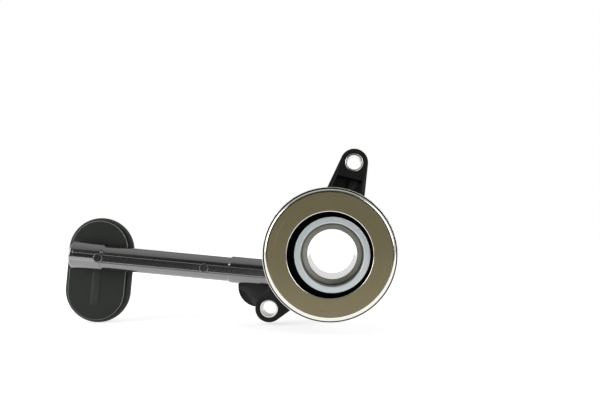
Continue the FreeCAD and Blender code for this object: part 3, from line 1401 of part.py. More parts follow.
def make_dust_boot():
    """Folded rubber sleeve from the barrel's foot to the carrier's collar."""
    body = make_body("dust_boot")
    cuff_in = total(BARREL_R, cell.seat_gap)
    cuff_out = total(BARREL_R, cell.boot_cuff_wall)
    cuff_end = total(cell.base_depth, cell.boot_cuff)
    bead_in = total(COLLAR_R, cell.seat_gap)
    bead_out = total(bead_in, cell.boot_cuff_wall)
    bead_start = less(CARRIER_REAR, cell.boot_collar_depth)
    folds = int(number(cell.boot_folds))
    pitch = f"(({bead_start} - {cuff_end}) / {cell.boot_folds})"
    valley_out = total(BOOT_INNER_R, cell.boot_wall)
    ridge_in = less(BOOT_R, cell.boot_wall)
    outer = [(cuff_out, front(cell.base_depth)), (cuff_out, front(cuff_end))]
    inner = [(cuff_in, front(cell.base_depth)), (cuff_in, front(cuff_end))]
    for fold in range(folds):
        ridge = total(cuff_end, f"({pitch} * {fold + 0.5})")
        outer.append((BOOT_R, front(ridge)))
        inner.append((ridge_in, front(ridge)))
        if fold < folds - 1:
            valley = total(cuff_end, f"({pitch} * {fold + 1})")
            outer.append((valley_out, front(valley)))
            inner.append((BOOT_INNER_R, front(valley)))
    outer += [(bead_out, front(bead_start)), (bead_out, front(CARRIER_REAR))]
    inner += [(bead_in, front(bead_start)), (bead_in, front(CARRIER_REAR))]
    revolve(body, "boot_moulded", inner + outer[::-1])
    return body


# Bolt sleeves and the arm's cap

def make_bolt_sleeve(lug):
    body = make_body(f"{lug.side}_bolt_sleeve")
    edge = cell.bolt_sleeve_edge
    end = total(cell.lug_depth, cell.bolt_sleeve_proud)
    revolve(body, f"{lug.side}_sleeve_turned", [
        (cell.bolt_bore_radius, "0"),
        (cell.bolt_sleeve_radius, "0"),
        (cell.bolt_sleeve_radius, front(less(end, edge))),
        (less(cell.bolt_sleeve_radius, edge), front(end)),
        (cell.bolt_bore_radius, front(end)),
    ])
    body.setExpression("Placement.Base.x", f"{lug.distance} * cos({lug.angle})")
    body.setExpression("Placement.Base.z", f"{lug.distance} * sin({lug.angle})")
    return body


def make_arm_end_plug():
    body = make_body("arm_end_plug")
    outer = f"-{cell.arm_end}"
    plug_end = f"-{less(cell.arm_end, cell.cap_wall, cell.cap_plug)}"
    edge = cell.cap_edge
    half = f"({edge} / 3)"
    revolve_along_arm(body, "end_plug", [
        (outer, "0"),
        (outer, less(cell.arm_end_radius, edge)),
        (total(outer, half), less(cell.arm_end_radius, half)),
        (total(outer, edge), cell.arm_end_radius),
        (ARM_START, cell.arm_end_radius),
        (ARM_START, cell.cap_plug_radius),
        (plug_end, cell.cap_plug_radius),
        (plug_end, "0"),
    ])
    return body


# Ports

def make_aperture_seal():
    """Oval rubber frame: front rim, neck through the clutch housing's wall, and rear bead."""
    body = make_body("aperture_seal")
    half_w = total(cell.flange_half_width, cell.seal_rim_side)
    half_h = total(cell.flange_half_height, cell.seal_rim_end)
    rim_back = less(cell.seal_front, cell.seal_rim_wall)
    bead_front = f"-{less(cell.seal_reach, cell.seal_bead)}"
    neck = cell.seal_neck_inset
    bead = less(neck, cell.seal_bead_proud)
    for name, inset, depth, length in (
        ("seal_rim", "0", rim_back, cell.seal_rim_wall),
        ("seal_neck", neck, f"-{cell.seal_reach}", total(cell.seal_reach, rim_back)),
        ("seal_bead", bead, f"-{cell.seal_reach}", cell.seal_bead),
    ):
        sketch = make_sketch(body, f"{name}_outline", "XZ_Plane", z=depth, angle="0")
        draw_stadium(sketch, less(half_w, inset), less(half_h, inset))
        extrude(body, name, sketch, length)
    gap, foot = cell.seat_gap, cell.seal_foot
    for name, inset, depth in (
        ("seal_window", f"-{gap}", FLANGE_BACK),
        ("seal_mouth", foot, f"-{total(cell.seal_reach, PAST)}"),
    ):
        sketch = make_sketch(body, f"{name}_outline", "XZ_Plane", z=depth, angle="0")
        draw_stadium(sketch, less(cell.flange_half_width, inset), less(cell.flange_half_height, inset))
        extrude(body, name, sketch, total(cell.seal_reach, cell.flange_wall), cut=True, backwards=True)
    place_on_plate(body)
    return body


def make_port_seal():
    body = make_body("port_seal")
    outer = less(LINE_SEAT_R, cell.seat_gap)
    inner = less(outer, cell.port_seal_wall)
    floor = less(cell.line_reach, cell.line_bore_depth)
    top = total(floor, cell.port_seal_width)
    lip = f"({cell.port_seal_wall} / 3)"
    revolve(body, "port_seal_moulded", [
        (total(inner, lip), floor),
        (outer, floor),
        (outer, top),
        (total(inner, lip), top),
        (inner, f"(({floor} + {top}) / 2)"),
    ], shift=cell.line_offset)
    place_on_plate(body)
    return body


def make_line_clip():
    """Wire clip: two legs through the port and a crown above it."""
    body = make_body("line_clip")
    leg = number(cell.clip_leg_offset)
    bend = number(cell.clip_bend_radius)
    low = number(less(cell.line_offset, cell.clip_leg_drop))
    high = number(total(cell.line_offset, cell.clip_crown))
    path = make_sketch(body, "clip_path", "XZ_Plane", z=f"-{CLIP_LEVEL}", angle="0")
    normal = Vector(0, 0, 1)

    def corner(x, start, end):
        circle = Part.Circle(Vector(x, high - bend, 0), normal, bend)
        return path.addGeometry(Part.ArcOfCircle(circle, start, end), False)

    left = path.addGeometry(Part.LineSegment(Vector(-leg, low, 0), Vector(-leg, high - bend, 0)), False)
    left_bend = corner(-leg + bend, math.pi / 2, math.pi)
    crown = path.addGeometry(
        Part.LineSegment(Vector(-leg + bend, high, 0), Vector(leg - bend, high, 0)), False)
    right_bend = corner(leg - bend, 0, math.pi / 2)
    right = path.addGeometry(Part.LineSegment(Vector(leg, high - bend, 0), Vector(leg, low, 0)), False)
    path.addConstraint([
        Sketcher.Constraint("Tangent", left, 2, left_bend, 2),
        Sketcher.Constraint("Tangent", left_bend, 1, crown, 1),
        Sketcher.Constraint("Tangent", crown, 2, right_bend, 2),
        Sketcher.Constraint("Tangent", right_bend, 1, right, 1),
        Sketcher.Constraint("Vertical", left),
        Sketcher.Constraint("Vertical", right),
        Sketcher.Constraint("Equal", left_bend, right_bend),
    ])
    index = path.addConstraint(Sketcher.Constraint("Radius", left_bend, bend))
    path.setExpression(f"Constraints[{index}]", cell.clip_bend_radius)
    fix_point(path, left, 1, f"-{cell.clip_leg_offset}", less(cell.line_offset, cell.clip_leg_drop))
    fix_point(path, right, 2, cell.clip_leg_offset, less(cell.line_offset, cell.clip_leg_drop))
    index = path.addConstraint(Sketcher.Constraint("DistanceY", crown, 1, high))
    path.setExpression(f"Constraints[{index}]", total(cell.line_offset, cell.clip_crown))
    section = make_sketch(body, "clip_section", "XY_Plane",
                          z=less(cell.line_offset, cell.clip_leg_drop), angle="0")
    draw_circle(section, f"-{cell.clip_leg_offset}", CLIP_LEVEL, cell.clip_wire_radius)
    doc.recompute()
    wire = body.newObject("PartDesign::AdditivePipe", "clip_wire")
    wire.Profile = section
    wire.Spine = (path, [f"Edge{index + 1}" for index in range(5)])
    section.Visibility = False
    path.Visibility = False
    place_on_plate(body)
    return body


BLEED_SHIFT = f"-{cell.bleed_offset}"
INSERT_FLOOR = less(cell.bleed_reach, cell.insert_depth)
SCREW_END = less(cell.bleed_reach, cell.screw_depth)


def make_bleed_insert():
    """Knurled bush that holds the screw's thread, with the cone seat at its bottom."""
    body = make_body("bleed_insert")
    bore = total(cell.screw_radius, cell.running_gap)
    groove = less(cell.insert_radius, cell.insert_groove)
    third = f"({cell.insert_depth} / 3)"
    cone_start = total(SCREW_END, cell.screw_cone)
    revolve(body, "insert_turned", [
        (cell.bleed_channel_radius, INSERT_FLOOR),
        (cell.insert_radius, INSERT_FLOOR),
        (cell.insert_radius, total(INSERT_FLOOR, third)),
        (groove, total(INSERT_FLOOR, third)),
        (groove, less(cell.bleed_reach, third)),
        (cell.insert_radius, less(cell.bleed_reach, third)),
        (cell.insert_radius, cell.bleed_reach),
        (bore, cell.bleed_reach),
        (bore, cone_start),
        (cell.bleed_channel_radius, less(SCREW_END, cell.seat_gap)),
    ], shift=BLEED_SHIFT)
    place_on_plate(body)
    return body


HEX_START = total(cell.bleed_reach, cell.hex_gap)
HEX_END = total(HEX_START, cell.hex_wall)
NIPPLE_END = total(HEX_END, cell.nipple_length)


def make_bleed_screw():
    """Sealing cone, thread, hexagon and hose nipple in one piece, drilled along its middle."""
    body = make_body("bleed_screw")
    bore = cell.bleed_bore_radius
    barb_start = less(NIPPLE_END, cell.nipple_barb_length)
    barb_middle = less(NIPPLE_END, cell.nipple_lead)
    revolve(body, "screw_turned", [
        (bore, SCREW_END),
        (cell.bleed_channel_radius, SCREW_END),
        (cell.screw_radius, total(SCREW_END, cell.screw_cone)),
        (cell.screw_radius, HEX_START),
        (cell.nipple_radius, HEX_START),
        (cell.nipple_radius, barb_start),
        (cell.nipple_barb_radius, barb_middle),
        (cell.nipple_radius, NIPPLE_END),
        (bore, NIPPLE_END),
    ], shift=BLEED_SHIFT)
    sketch = make_sketch(body, "hexagon_outline", "XZ_Plane", z=f"-{HEX_START}", angle="0")
    corners = []
    for index in range(6):
        angle = 60 * index
        across = f"({cell.hex_flat} / cos(30) * cos({angle}))"
        up = f"({cell.hex_flat} / cos(30) * sin({angle}) - {cell.bleed_offset})"
        corners.append((across, up))
    draw_outline(sketch, corners)
    extrude(body, "hexagon", sketch, cell.hex_wall, backwards=True)
    sketch = make_sketch(body, "screw_bore_circle", "XZ_Plane", z=f"-{NIPPLE_END}", angle="0")
    draw_circle(sketch, "0", BLEED_SHIFT, bore)
    extrude(body, "screw_bore", sketch, less(NIPPLE_END, SCREW_END), cut=True, backwards=True)
    place_on_plate(body)
    return body


def make_bleed_cap():
    """Rubber cap pulled over the nipple."""
    body = make_body("bleed_cap")
    inner = total(cell.nipple_barb_radius, cell.cap_gap)
    outer = total(inner, cell.cap_rubber)
    mouth = total(HEX_END, cell.cap_gap)
    top = total(NIPPLE_END, cell.cap_gap)
    bead = total(outer, cell.cap_bead)
    revolve(body, "cap_moulded", [
        ("0", top),
        (inner, top),
        (inner, mouth),
        (bead, mouth),
        (bead, total(mouth, cell.cap_bead_length)),
        (outer, total(mouth, cell.cap_bead_length, cell.cap_bead)),
        (outer, less(total(top, cell.cap_rubber), cell.cap_end_bevel)),
        (less(outer, cell.cap_end_bevel), total(top, cell.cap_rubber)),
        ("0", total(top, cell.cap_rubber)),
    ], shift=BLEED_SHIFT)
    place_on_plate(body)
    return body


# The whole cylinder

def make_all():
    pieces = [
        make_housing(),
        make_arm_tube(),
        make_port_head(),
        make_guide_sleeve(),
        make_sleeve_o_ring(),
        make_snap_ring("sleeve_retaining_ring", RETAINER_INNER_R, RETAINER_R,
                       RETAINER_FRONT, RETAINER_REAR, cell.retainer_gape),
        make_piston(),
        make_piston_seal(),
        make_guide_band(),
        make_sleeve_scraper(),
        make_snap_ring("piston_stop_ring", STOP_RING_INNER_R,
                       total(CYLINDER_R, cell.stop_ring_bite),
                       front(STOP_RING_FRONT), front(STOP_RING_REAR), cell.stop_ring_gape),
        make_bearing_carrier(),
        make_float_washer(),
        make_centering_spring(),
        make_contact_ring(),
        make_bearing_outer_ring(),
        make_bearing_cover(),
        make_bearing_seal(),
        make_bearing_balls(),
        make_ball_cage(),
        make_preload_spring(),
        make_dust_boot(),
        make_arm_end_plug(),
        make_aperture_seal(),
        make_port_seal(),
        make_line_clip(),
        make_bleed_insert(),
        make_bleed_screw(),
        make_bleed_cap(),
    ]
    pieces.extend(make_bolt_sleeve(lug) for lug in LUGS)
    return pieces


def check_all(pieces):
    """Stop on any failed feature or broken solid."""
    for item in doc.Objects:
        assert "Invalid" not in item.State and "Error" not in item.State, f"{item.Name} {item.State}"
    for piece in pieces:
        shape = piece.Shape
        assert not shape.isNull() and shape.isValid() and shape.Solids, f"{piece.Label} is broken"


pieces = make_all()
doc.recompute()
check_all(pieces)
os.makedirs("parts", exist_ok=True)
for piece in pieces:
    piece.Shape.exportStep(f"parts/{piece.Label}.step")
    print(f"{piece.Label:24s} solids {len(piece.Shape.Solids):3d} volume {piece.Shape.Volume:10.1f}")
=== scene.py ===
import math

import bmesh
import bpy
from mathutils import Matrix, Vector


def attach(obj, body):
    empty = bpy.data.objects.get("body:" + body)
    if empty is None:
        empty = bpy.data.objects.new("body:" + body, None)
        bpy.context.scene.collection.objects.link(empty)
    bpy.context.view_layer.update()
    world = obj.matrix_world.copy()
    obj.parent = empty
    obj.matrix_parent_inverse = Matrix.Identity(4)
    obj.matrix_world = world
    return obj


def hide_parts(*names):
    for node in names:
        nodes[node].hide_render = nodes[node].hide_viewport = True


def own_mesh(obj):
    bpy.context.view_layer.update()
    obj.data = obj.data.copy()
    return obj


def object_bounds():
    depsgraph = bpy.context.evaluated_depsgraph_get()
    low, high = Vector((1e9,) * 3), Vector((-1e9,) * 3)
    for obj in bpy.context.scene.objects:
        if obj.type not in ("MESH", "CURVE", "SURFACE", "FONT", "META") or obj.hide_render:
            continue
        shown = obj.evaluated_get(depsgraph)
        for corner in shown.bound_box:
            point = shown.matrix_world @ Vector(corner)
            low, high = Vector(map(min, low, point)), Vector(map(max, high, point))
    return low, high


# Looks of the clutch slave cylinder. Lengths are in millimetres until MM turns them into metres;
# only floor, lights and camera are written in metres. A "depth" is a distance in front of the
# mounting face, towards -Y, and a "place" is a position on Y itself.

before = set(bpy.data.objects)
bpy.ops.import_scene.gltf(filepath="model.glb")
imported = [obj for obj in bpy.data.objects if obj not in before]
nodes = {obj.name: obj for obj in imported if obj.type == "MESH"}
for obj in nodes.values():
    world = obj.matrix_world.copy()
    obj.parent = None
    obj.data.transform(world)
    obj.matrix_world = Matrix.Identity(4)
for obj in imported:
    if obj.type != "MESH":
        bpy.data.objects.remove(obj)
cad_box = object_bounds()
MM = 0.001

# Places taken from the part's own dimensions
OVERALL = 58.0
FLOAT = -1.1                    # the bearing rests at the left end of its float
CONTACT_R, CONTACT_BORE_R = 33.65, 22.0
NOSE_R, PISTON_BORE_R = 19.5, 16.15
SLEEVE_R, SLEEVE_BORE_R, SLEEVE_FRONT = 16.1, 13.4, 42.0
COVER_REAR, COVER_FRONT, COVER_R, COVER_IN_R = 46.7, 55.6, 34.7, 33.8
CARRIER_REAR = 44.6
BASE_DEPTH = 12.0
BARREL_R = 24.6
ARM_POINT, ARM_SLOPE, ARM_DEPTH = (-90.0, -7.55), math.radians(5.37), 7.5
PLATE_MIDDLE, PLATE_LEAN = (-142.6, -11.25), ARM_SLOPE
UPPER_BOLT = (55.08 * math.cos(math.radians(76.24)), 55.08 * math.sin(math.radians(76.24)))
LOWER_BOLT = (50.36 * math.cos(math.radians(221.7)), 50.36 * math.sin(math.radians(221.7)))
BOLT_SLEEVE_R, BOLT_HOLE_R, BOLT_SLEEVE_DEPTH = 5.4, 4.2, 10.25
# The arm's radii, and places along it from its point, minus towards the free end
ARM_R, ARM_ROOT_R, ARM_END_R = 7.15, 7.9, 8.3
CAP_OUT, ARM_OUT, ARM_IN = -65.0, -62.4, 56.0
END_TAPER, ROOT_TAPER = (-46.6, -45.4), (28.7, 29.9)
PADS_ALONG = (-47.2, 15.0)
PAD_R = 2.7
RIB_TOP, RIB_HALF, RIB_FOOT_HALF = 8.2, 2.2, 2.9
# Half width and height of the port flange, and what stands on it
FLANGE_HALF = (17.05, 30.2)
FLANGE_DEPTH, BAND_DEPTH = 3.0, 3.4
FLANGE_SIDE = (-118.0, -114.0)  # X where the flange's look gives way to plain black
BAND_TOP_HALF, BAND_FOOT_HALF, BAND_RUN = 1.7, 2.9, (-21.0, 0.0)
BLEED_UP = -16.0
BLEED_BORE_R = 0.9
# The scene's trim lies this far outside the moulding
SKIN = 0.02


# Meshes

def new_piece(name, verts, faces, body, nodes_for=(), sharp=32):
    """Piece in the row frame from points in millimetres, smooth but for its sharp edges."""
    mesh = bpy.data.meshes.new(name)
    mesh.from_pydata([tuple(c * MM for c in v) for v in verts], [], faces)
    shell = bmesh.new()
    shell.from_mesh(mesh)
    bmesh.ops.remove_doubles(shell, verts=shell.verts, dist=1e-7)
    bmesh.ops.recalc_face_normals(shell, faces=shell.faces)
    shell.to_mesh(mesh)
    shell.free()
    piece = bpy.data.objects.new(name, mesh)
    bpy.context.scene.collection.objects.link(piece)
    return settle(piece, body, nodes_for, sharp)


def settle(piece, body, nodes_for, sharp):
    """Shade a piece, put it on its body and hide the CAD nodes that it stands for."""
    mesh = piece.data
    for polygon in mesh.polygons:
        polygon.use_smooth = True
    mesh.set_sharp_from_angle(angle=math.radians(sharp))
    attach(piece, body)
    if nodes_for:
        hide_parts(*nodes_for)
    return piece


def sheet_faces(rows, count, rows_closed, count_closed):
    """Quads between rows of count points; each way may close into a ring."""
    faces = []
    for row in range(rows if rows_closed else rows - 1):
        near, far = row * count, (row + 1) % rows * count
        for step in range(count if count_closed else count - 1):
            following = (step + 1) % count
            faces.append((near + step, near + following, far + following, far + step))
    return faces


EDGE_SHARE = 0.49               # most of an edge that one arc may take
GUARD, LEAST_GUARD = 0.1, 0.01  # distance of the points beside an arc


def rounded(corners, steps=5):
    """Closed outline with arcs at its corners; a corner is (a, b) or (a, b, radius).

    A point just before and after each arc keeps the flats beside it flat when shaded.
    """
    outline = []
    count = len(corners)
    for index, corner in enumerate(corners):
        here = Vector(corner[:2])
        radius = corner[2] if len(corner) > 2 else 0
        before = Vector(corners[index - 1][:2]) - here
        after = Vector(corners[(index + 1) % count][:2]) - here
        if not radius:
            outline.append(tuple(here))
            continue
        half = before.angle(after) / 2
        reach = min(radius / math.tan(half), before.length * EDGE_SHARE, after.length * EDGE_SHARE)
        radius = reach * math.tan(half)
        towards = (before.normalized() + after.normalized()).normalized()
        middle = here + towards * radius / math.sin(half)
        start = here + before.normalized() * reach - middle
        end = here + after.normalized() * reach - middle
        first = math.atan2(start.y, start.x)
        turn = (math.atan2(end.y, end.x) - first + math.pi) % (2 * math.pi) - math.pi
        guard_in = min(GUARD, (before.length / 2 - reach) / 2)
        guard_out = min(GUARD, (after.length / 2 - reach) / 2)
        if guard_in > LEAST_GUARD:
            outline.append(tuple(here + before.normalized() * (reach + guard_in)))
        for step in range(steps + 1):
            angle = first + turn * step / steps
            outline.append((middle.x + radius * math.cos(angle), middle.y + radius * math.sin(angle)))
        if guard_out > LEAST_GUARD:
            outline.append(tuple(here + after.normalized() * (reach + guard_out)))
    return outline


def lathe(name, outline, body, nodes_for=(), centre=(0, 0), around=160, sharp=32):
    """Turn a closed outline of (radius, place on Y) about an axis along Y."""
    verts = []
    for index in range(around):
        angle = 2 * math.pi * index / around
        across, up = math.cos(angle), math.sin(angle)
        for radius, place in outline:
            verts.append((centre[0] + radius * across, place, centre[1] + radius * up))
    faces = clean_faces(verts, sheet_faces(around, len(outline), True, True))
    return new_piece(name, verts, faces, body, nodes_for, sharp)


def clean_faces(verts, faces):
    """Faces lose the points that they have twice, as on an axis, and those left without area go."""
    kept = []
    for face in faces:
        places = []
        for index in face:
            if all((Vector(verts[index]) - Vector(verts[other])).length > 1e-6 for other in places):
                places.append(index)
        if len(places) > 2:
            kept.append(tuple(places))
    return kept


def at_depth(outline):
    """Outline of (radius, depth) as (radius, place on Y)."""
    return [(point[0], -point[1]) + tuple(point[2:]) for point in outline]


def leaning(origin, slope, along, up):
    """Row X and Z of a place in a frame that leans by a slope."""
    c, s = math.cos(slope), math.sin(slope)
    return origin[0] + along * c + up * s, origin[1] - along * s + up * c


def plate_place(x, z):
    """Row X and Z of a place on the port flange."""
    return leaning(PLATE_MIDDLE, PLATE_LEAN, x, z)


def arm_place(along, up):
    """Row X and Z of a place beside the arm's axis."""
    return leaning(ARM_POINT, ARM_SLOPE, along, up)


def on_plate(x, z, place):
    """Point of the port flange at a place on Y."""
    px, pz = plate_place(x, z)
    return px, place, pz


def on_arm(along, up, height):
    """Point in front of the arm's axis by a height."""
    x, z = arm_place(along, up)
    return x, -ARM_DEPTH - height, z


def arm_lathe(name, outline, nodes_for=(), around=96, flat_back=0.0):
    """Turn an outline of (along, radius) about the arm's axis; nothing passes the flat back."""
    verts = []
    for index in range(around):
        angle = 2 * math.pi * index / around
        for along, radius in outline:
            x, y, z = on_arm(along, radius * math.cos(angle), -radius * math.sin(angle))
            verts.append((x, min(y, flat_back) if flat_back else y, z))
    faces = clean_faces(verts, sheet_faces(around, len(outline), True, False))
    return new_piece(name, verts, faces, "cylinder_housing", nodes_for)


def bar(name, section, start, end, spot):
    """Straight bar with flat ends; spot gives the point of a section's corner at a run."""
    verts = [spot(run, *corner) for run in (start, end) for corner in section]
    count = len(section)
    faces = sheet_faces(2, count, False, True)
    faces += [tuple(reversed(range(count))), tuple(range(count, 2 * count))]
    return new_piece(name, verts, faces, "cylinder_housing", (), 50)


def plate_body(name, rows, closed, nodes_for=()):
    """Body of outlines on the port flange, each with its place on Y; an open one gets flat ends."""
    verts = [on_plate(x, z, place) for outline, place in rows for x, z in outline]
    count = len(rows[0][0])
    faces = sheet_faces(len(rows), count, closed, True)
    if not closed:
        faces += [tuple(range(count)), tuple(range(len(verts) - count, len(verts)))]
    return new_piece(name, verts, faces, "cylinder_housing", nodes_for)


def tube(name, path, radius, body, nodes_for, around=14):
    """Round wire along points in millimetres."""
    points = [Vector(p) for p in path]
    verts = []
    previous = None
    for index, point in enumerate(points):
        ahead = points[min(index + 1, len(points) - 1)] - points[max(index - 1, 0)]
        ahead.normalize()
        if previous is None:
            side = ahead.orthogonal().normalized()
        else:
            side = (previous - ahead * previous.dot(ahead)).normalized()
        previous = side
        other = ahead.cross(side)
        for step in range(around):
            angle = 2 * math.pi * step / around
            place = point + (side * math.cos(angle) + other * math.sin(angle)) * radius
            verts.append(tuple(place))
    faces = sheet_faces(len(points), around, False, True)
    faces += [tuple(reversed(range(around))), tuple(range(len(verts) - around, len(verts)))]
    return new_piece(name, verts, faces, body, nodes_for, 50)


def stadium(half_width, half_height, steps=28):
    """Points round an upright outline with two straight sides and two round ends."""
    run = half_height - half_width
    points = []
    for middle, start in ((run, 0), (-run, math.pi)):
        for step in range(steps + 1):
            angle = start + math.pi * step / steps
            points.append((half_width * math.cos(angle), middle + half_width * math.sin(angle)))
    return points


def copy_nodes(name, names, body):
    """One piece from copies of CAD nodes that meet face to face, joined into a single skin."""
    pieces = []
    for item in names:
        mesh = nodes[item].data.copy()
        shell = bmesh.new()
        shell.from_mesh(mesh)
        bmesh.ops.remove_doubles(shell, verts=shell.verts, dist=1e-6)
        shell.to_mesh(mesh)
        shell.free()
        copy = bpy.data.objects.new(f"{name}_{item}", mesh)
        bpy.context.scene.collection.objects.link(copy)
        pieces.append(copy)
    piece = pieces[0]
    for other in pieces[1:]:
        union = piece.modifiers.new("union", "BOOLEAN")
        union.operation = "UNION"
        union.solver = "EXACT"
        union.object = other
    graph = bpy.context.evaluated_depsgraph_get()
    mesh = bpy.data.meshes.new_from_object(piece.evaluated_get(graph))
    for other in pieces[1:]:
        bpy.data.objects.remove(other)
    piece.modifiers.clear()
    piece.data = mesh
    piece.name = name
    mesh.materials.clear()
    return settle(piece, body, names, 30)


# Materials

class Nodes:
    """Short forms for building a tree of nodes."""

    def __init__(self, tree):
        self.tree = tree

    def join(self, output, target):
        self.tree.links.new(output, target)

    def node(self, kind, **settings):
        made = self.tree.nodes.new(kind)
        for key, value in settings.items():
            setattr(made, key, value)
        return made

    def place(self):
        """Position in the piece's own frame, which is the row frame at rest."""
        return self.node("ShaderNodeTexCoord").outputs["Object"]

    def axes(self):
        """That position's X, Y and Z in millimetres."""
        scaled = self.node("ShaderNodeVectorMath", operation="SCALE")
        scaled.inputs["Scale"].default_value = 1 / MM
        self.join(self.place(), scaled.inputs[0])
        split = self.node("ShaderNodeSeparateXYZ")
        self.join(scaled.outputs[0], split.inputs[0])
        return split.outputs

    def math(self, operation, *values):
        """One operation on values, each a number or a socket."""
        made = self.node("ShaderNodeMath", operation=operation)
        for index, value in enumerate(values):
            if isinstance(value, (int, float)):
                made.inputs[index].default_value = value
            else:
                self.join(value, made.inputs[index])
        return made.outputs[0]

    def ramp(self, value, low, high, start, end, interpolation="LINEAR"):
        """Change from start to end while the value goes from low to high."""
        made = self.node("ShaderNodeMapRange", interpolation_type=interpolation)
        self.join(value, made.inputs["Value"])
        made.inputs["From Min"].default_value = low
        made.inputs["From Max"].default_value = high
        made.inputs["To Min"].default_value = start
        made.inputs["To Max"].default_value = end
        return made.outputs["Result"]

    def within(self, value, low, low_full, high_full, high):
        """1 from low_full to high_full, falling to 0 at low and high."""
        falling = self.ramp(value, high_full, high, 1, 0)
        return self.math("MULTIPLY", falling, self.ramp(value, low, low_full, 0, 1))

    def near(self, value, middle, full, none):
        """1 up to full from a middle value, falling to 0 at none from it."""
        off = self.math("ABSOLUTE", self.math("SUBTRACT", value, middle))
        return self.ramp(off, full, none, 1, 0)

    def length(self, first, second):
        """Length of two sides at a right angle."""
        square = self.math("ADD", self.math("MULTIPLY", first, first), self.math("MULTIPLY", second, second))
        return self.math("SQRT", square)


class Shader(Nodes):
    """One material, with noises, bumps and places on the piece."""

    def __init__(self, name, colour, roughness, metallic=0.0, specular=0.5, coat=(0.0, 0.05, 1.5)):
        self.material = bpy.data.materials.new(name)
        self.material.use_nodes = True
        super().__init__(self.material.node_tree)
        self.shader = self.tree.nodes["Principled BSDF"]
        sockets = ("Base Color", "Roughness", "Metallic", "Specular IOR Level",
                   "Coat Weight", "Coat Roughness", "Coat IOR")
        for socket, value in zip(sockets, ((*colour, 1), roughness, metallic, specular, *coat)):
            self.shader.inputs[socket].default_value = value
        self.material.diffuse_color = (*colour, 1)

    def blend(self, factor, first, second):
        """Mix of two colours; each is a colour or a socket."""
        made = self.node("ShaderNodeMix", data_type="RGBA")
        self.join(factor, made.inputs["Factor"])
        for index, value in ((6, first), (7, second)):
            if isinstance(value, tuple):
                made.inputs[index].default_value = (*value, 1)
            else:
                self.join(value, made.inputs[index])
        return made.outputs[2]

    def noise(self, scale, detail, rough=0.5, stretch=None):
        """Noise over the piece, from 0 to 1."""
        made = self.node("ShaderNodeTexNoise")
        made.inputs["Scale"].default_value = scale
        made.inputs["Detail"].default_value = detail
        made.inputs["Roughness"].default_value = rough
        source = self.place()
        if stretch:
            mapping = self.node("ShaderNodeMapping")
            mapping.inputs["Scale"].default_value = stretch
            self.join(source, mapping.inputs["Vector"])
            source = mapping.outputs["Vector"]
        self.join(source, made.inputs["Vector"])
        return made.outputs["Fac"]

    def radius(self, centre=(0, 0)):
        """Distance from an axis along Y, in millimetres."""
        x, _, z = self.axes()
        return self.length(self.math("SUBTRACT", x, centre[0]), self.math("SUBTRACT", z, centre[1]))

    def bump(self, height, depth_mm, edge_mm=0.0):
        """Bump of a height from 0 to 1, and rounded edges under it."""
        made = self.node("ShaderNodeBump")
        made.inputs["Strength"].default_value = 1.0
        made.inputs["Distance"].default_value = depth_mm * MM
        self.join(height, made.inputs["Height"])
        if edge_mm:
            bevel = self.node("ShaderNodeBevel", samples=6)
            bevel.inputs["Radius"].default_value = edge_mm * MM
            self.join(bevel.outputs["Normal"], made.inputs["Normal"])
        self.join(made.outputs["Normal"], self.shader.inputs["Normal"])

    def colour(self, output):
        self.join(output, self.shader.inputs["Base Color"])

    def roughness(self, output):
        self.join(output, self.shader.inputs["Roughness"])

    def metallic(self, output):
        self.join(output, self.shader.inputs["Metallic"])


def turning_lines(shader, centre, per_mm):
    """Fine rings from turning, uneven in strength, and the radius that they follow."""
    radius = shader.radius(centre)
    coords = shader.node("ShaderNodeCombineXYZ")
    shader.join(radius, coords.inputs[0])
    fine = shader.node("ShaderNodeTexNoise")
    fine.inputs["Scale"].default_value = per_mm
    fine.inputs["Detail"].default_value = 2.0
    fine.inputs["Roughness"].default_value = 0.7
    shader.join(coords.outputs[0], fine.inputs["Vector"])
    return fine.outputs["Fac"], radius


def arm_axes(shader):
    """Place on Y, and distances along the arm, up across it and off its axis."""
    x, y, z = shader.axes()
    across = shader.math("SUBTRACT", x, ARM_POINT[0])
    high = shader.math("SUBTRACT", z, ARM_POINT[1])
    c, s = math.cos(ARM_SLOPE), math.sin(ARM_SLOPE)
    up = shader.math("ADD", shader.math("MULTIPLY", across, s), shader.math("MULTIPLY", high, c))
    along = shader.math("SUBTRACT", shader.math("MULTIPLY", across, c), shader.math("MULTIPLY", high, s))
    return y, along, up, shader.length(up, shader.math("ADD", y, ARM_DEPTH))


def moulded_black():
    """Glass-filled nylon: dull olive black on the port flange, plain black on base and lugs, and a painted
    highlight along the flange's front edge.
    """
    s = Shader("moulded_black", (0.008, 0.008, 0.008), 0.5, 0.0, 0.3)
    x, y, _ = s.axes()
    on_flange = s.ramp(x, *FLANGE_SIDE, 1, 0)
    front = -FLANGE_DEPTH
    edge = s.math("MULTIPLY", on_flange, s.within(y, front, front + 0.08, front + 0.38, front + 0.50))
    band_top = s.math("MULTIPLY", on_flange, s.ramp(y, -BAND_DEPTH, -BAND_DEPTH + 0.15, 1, 0))
    patches = s.noise(90, 4)
    grain = s.noise(2600, 2)
    dull = s.blend(patches, (0.012, 0.0150, 0.0115), (0.023, 0.0265, 0.0215))
    dull = s.blend(band_top, dull, (0.029, 0.033, 0.0275))
    plain = s.blend(patches, (0.0026, 0.0026, 0.0024), (0.0045, 0.0045, 0.0042))
    # The flange's front edge is painted light grey: a painted highlight on its rounding
    painted_highlight = s.math("MULTIPLY", edge, 0.8)
    s.colour(s.blend(painted_highlight, s.blend(on_flange, plain, dull), (0.36, 0.36, 0.33)))
    smoother = s.math("MULTIPLY", edge, 0.3)
    s.roughness(s.math("SUBTRACT", s.ramp(patches, 0.3, 0.7, 0.46, 0.58), smoother))
    s.bump(grain, 0.012)
    return s.material


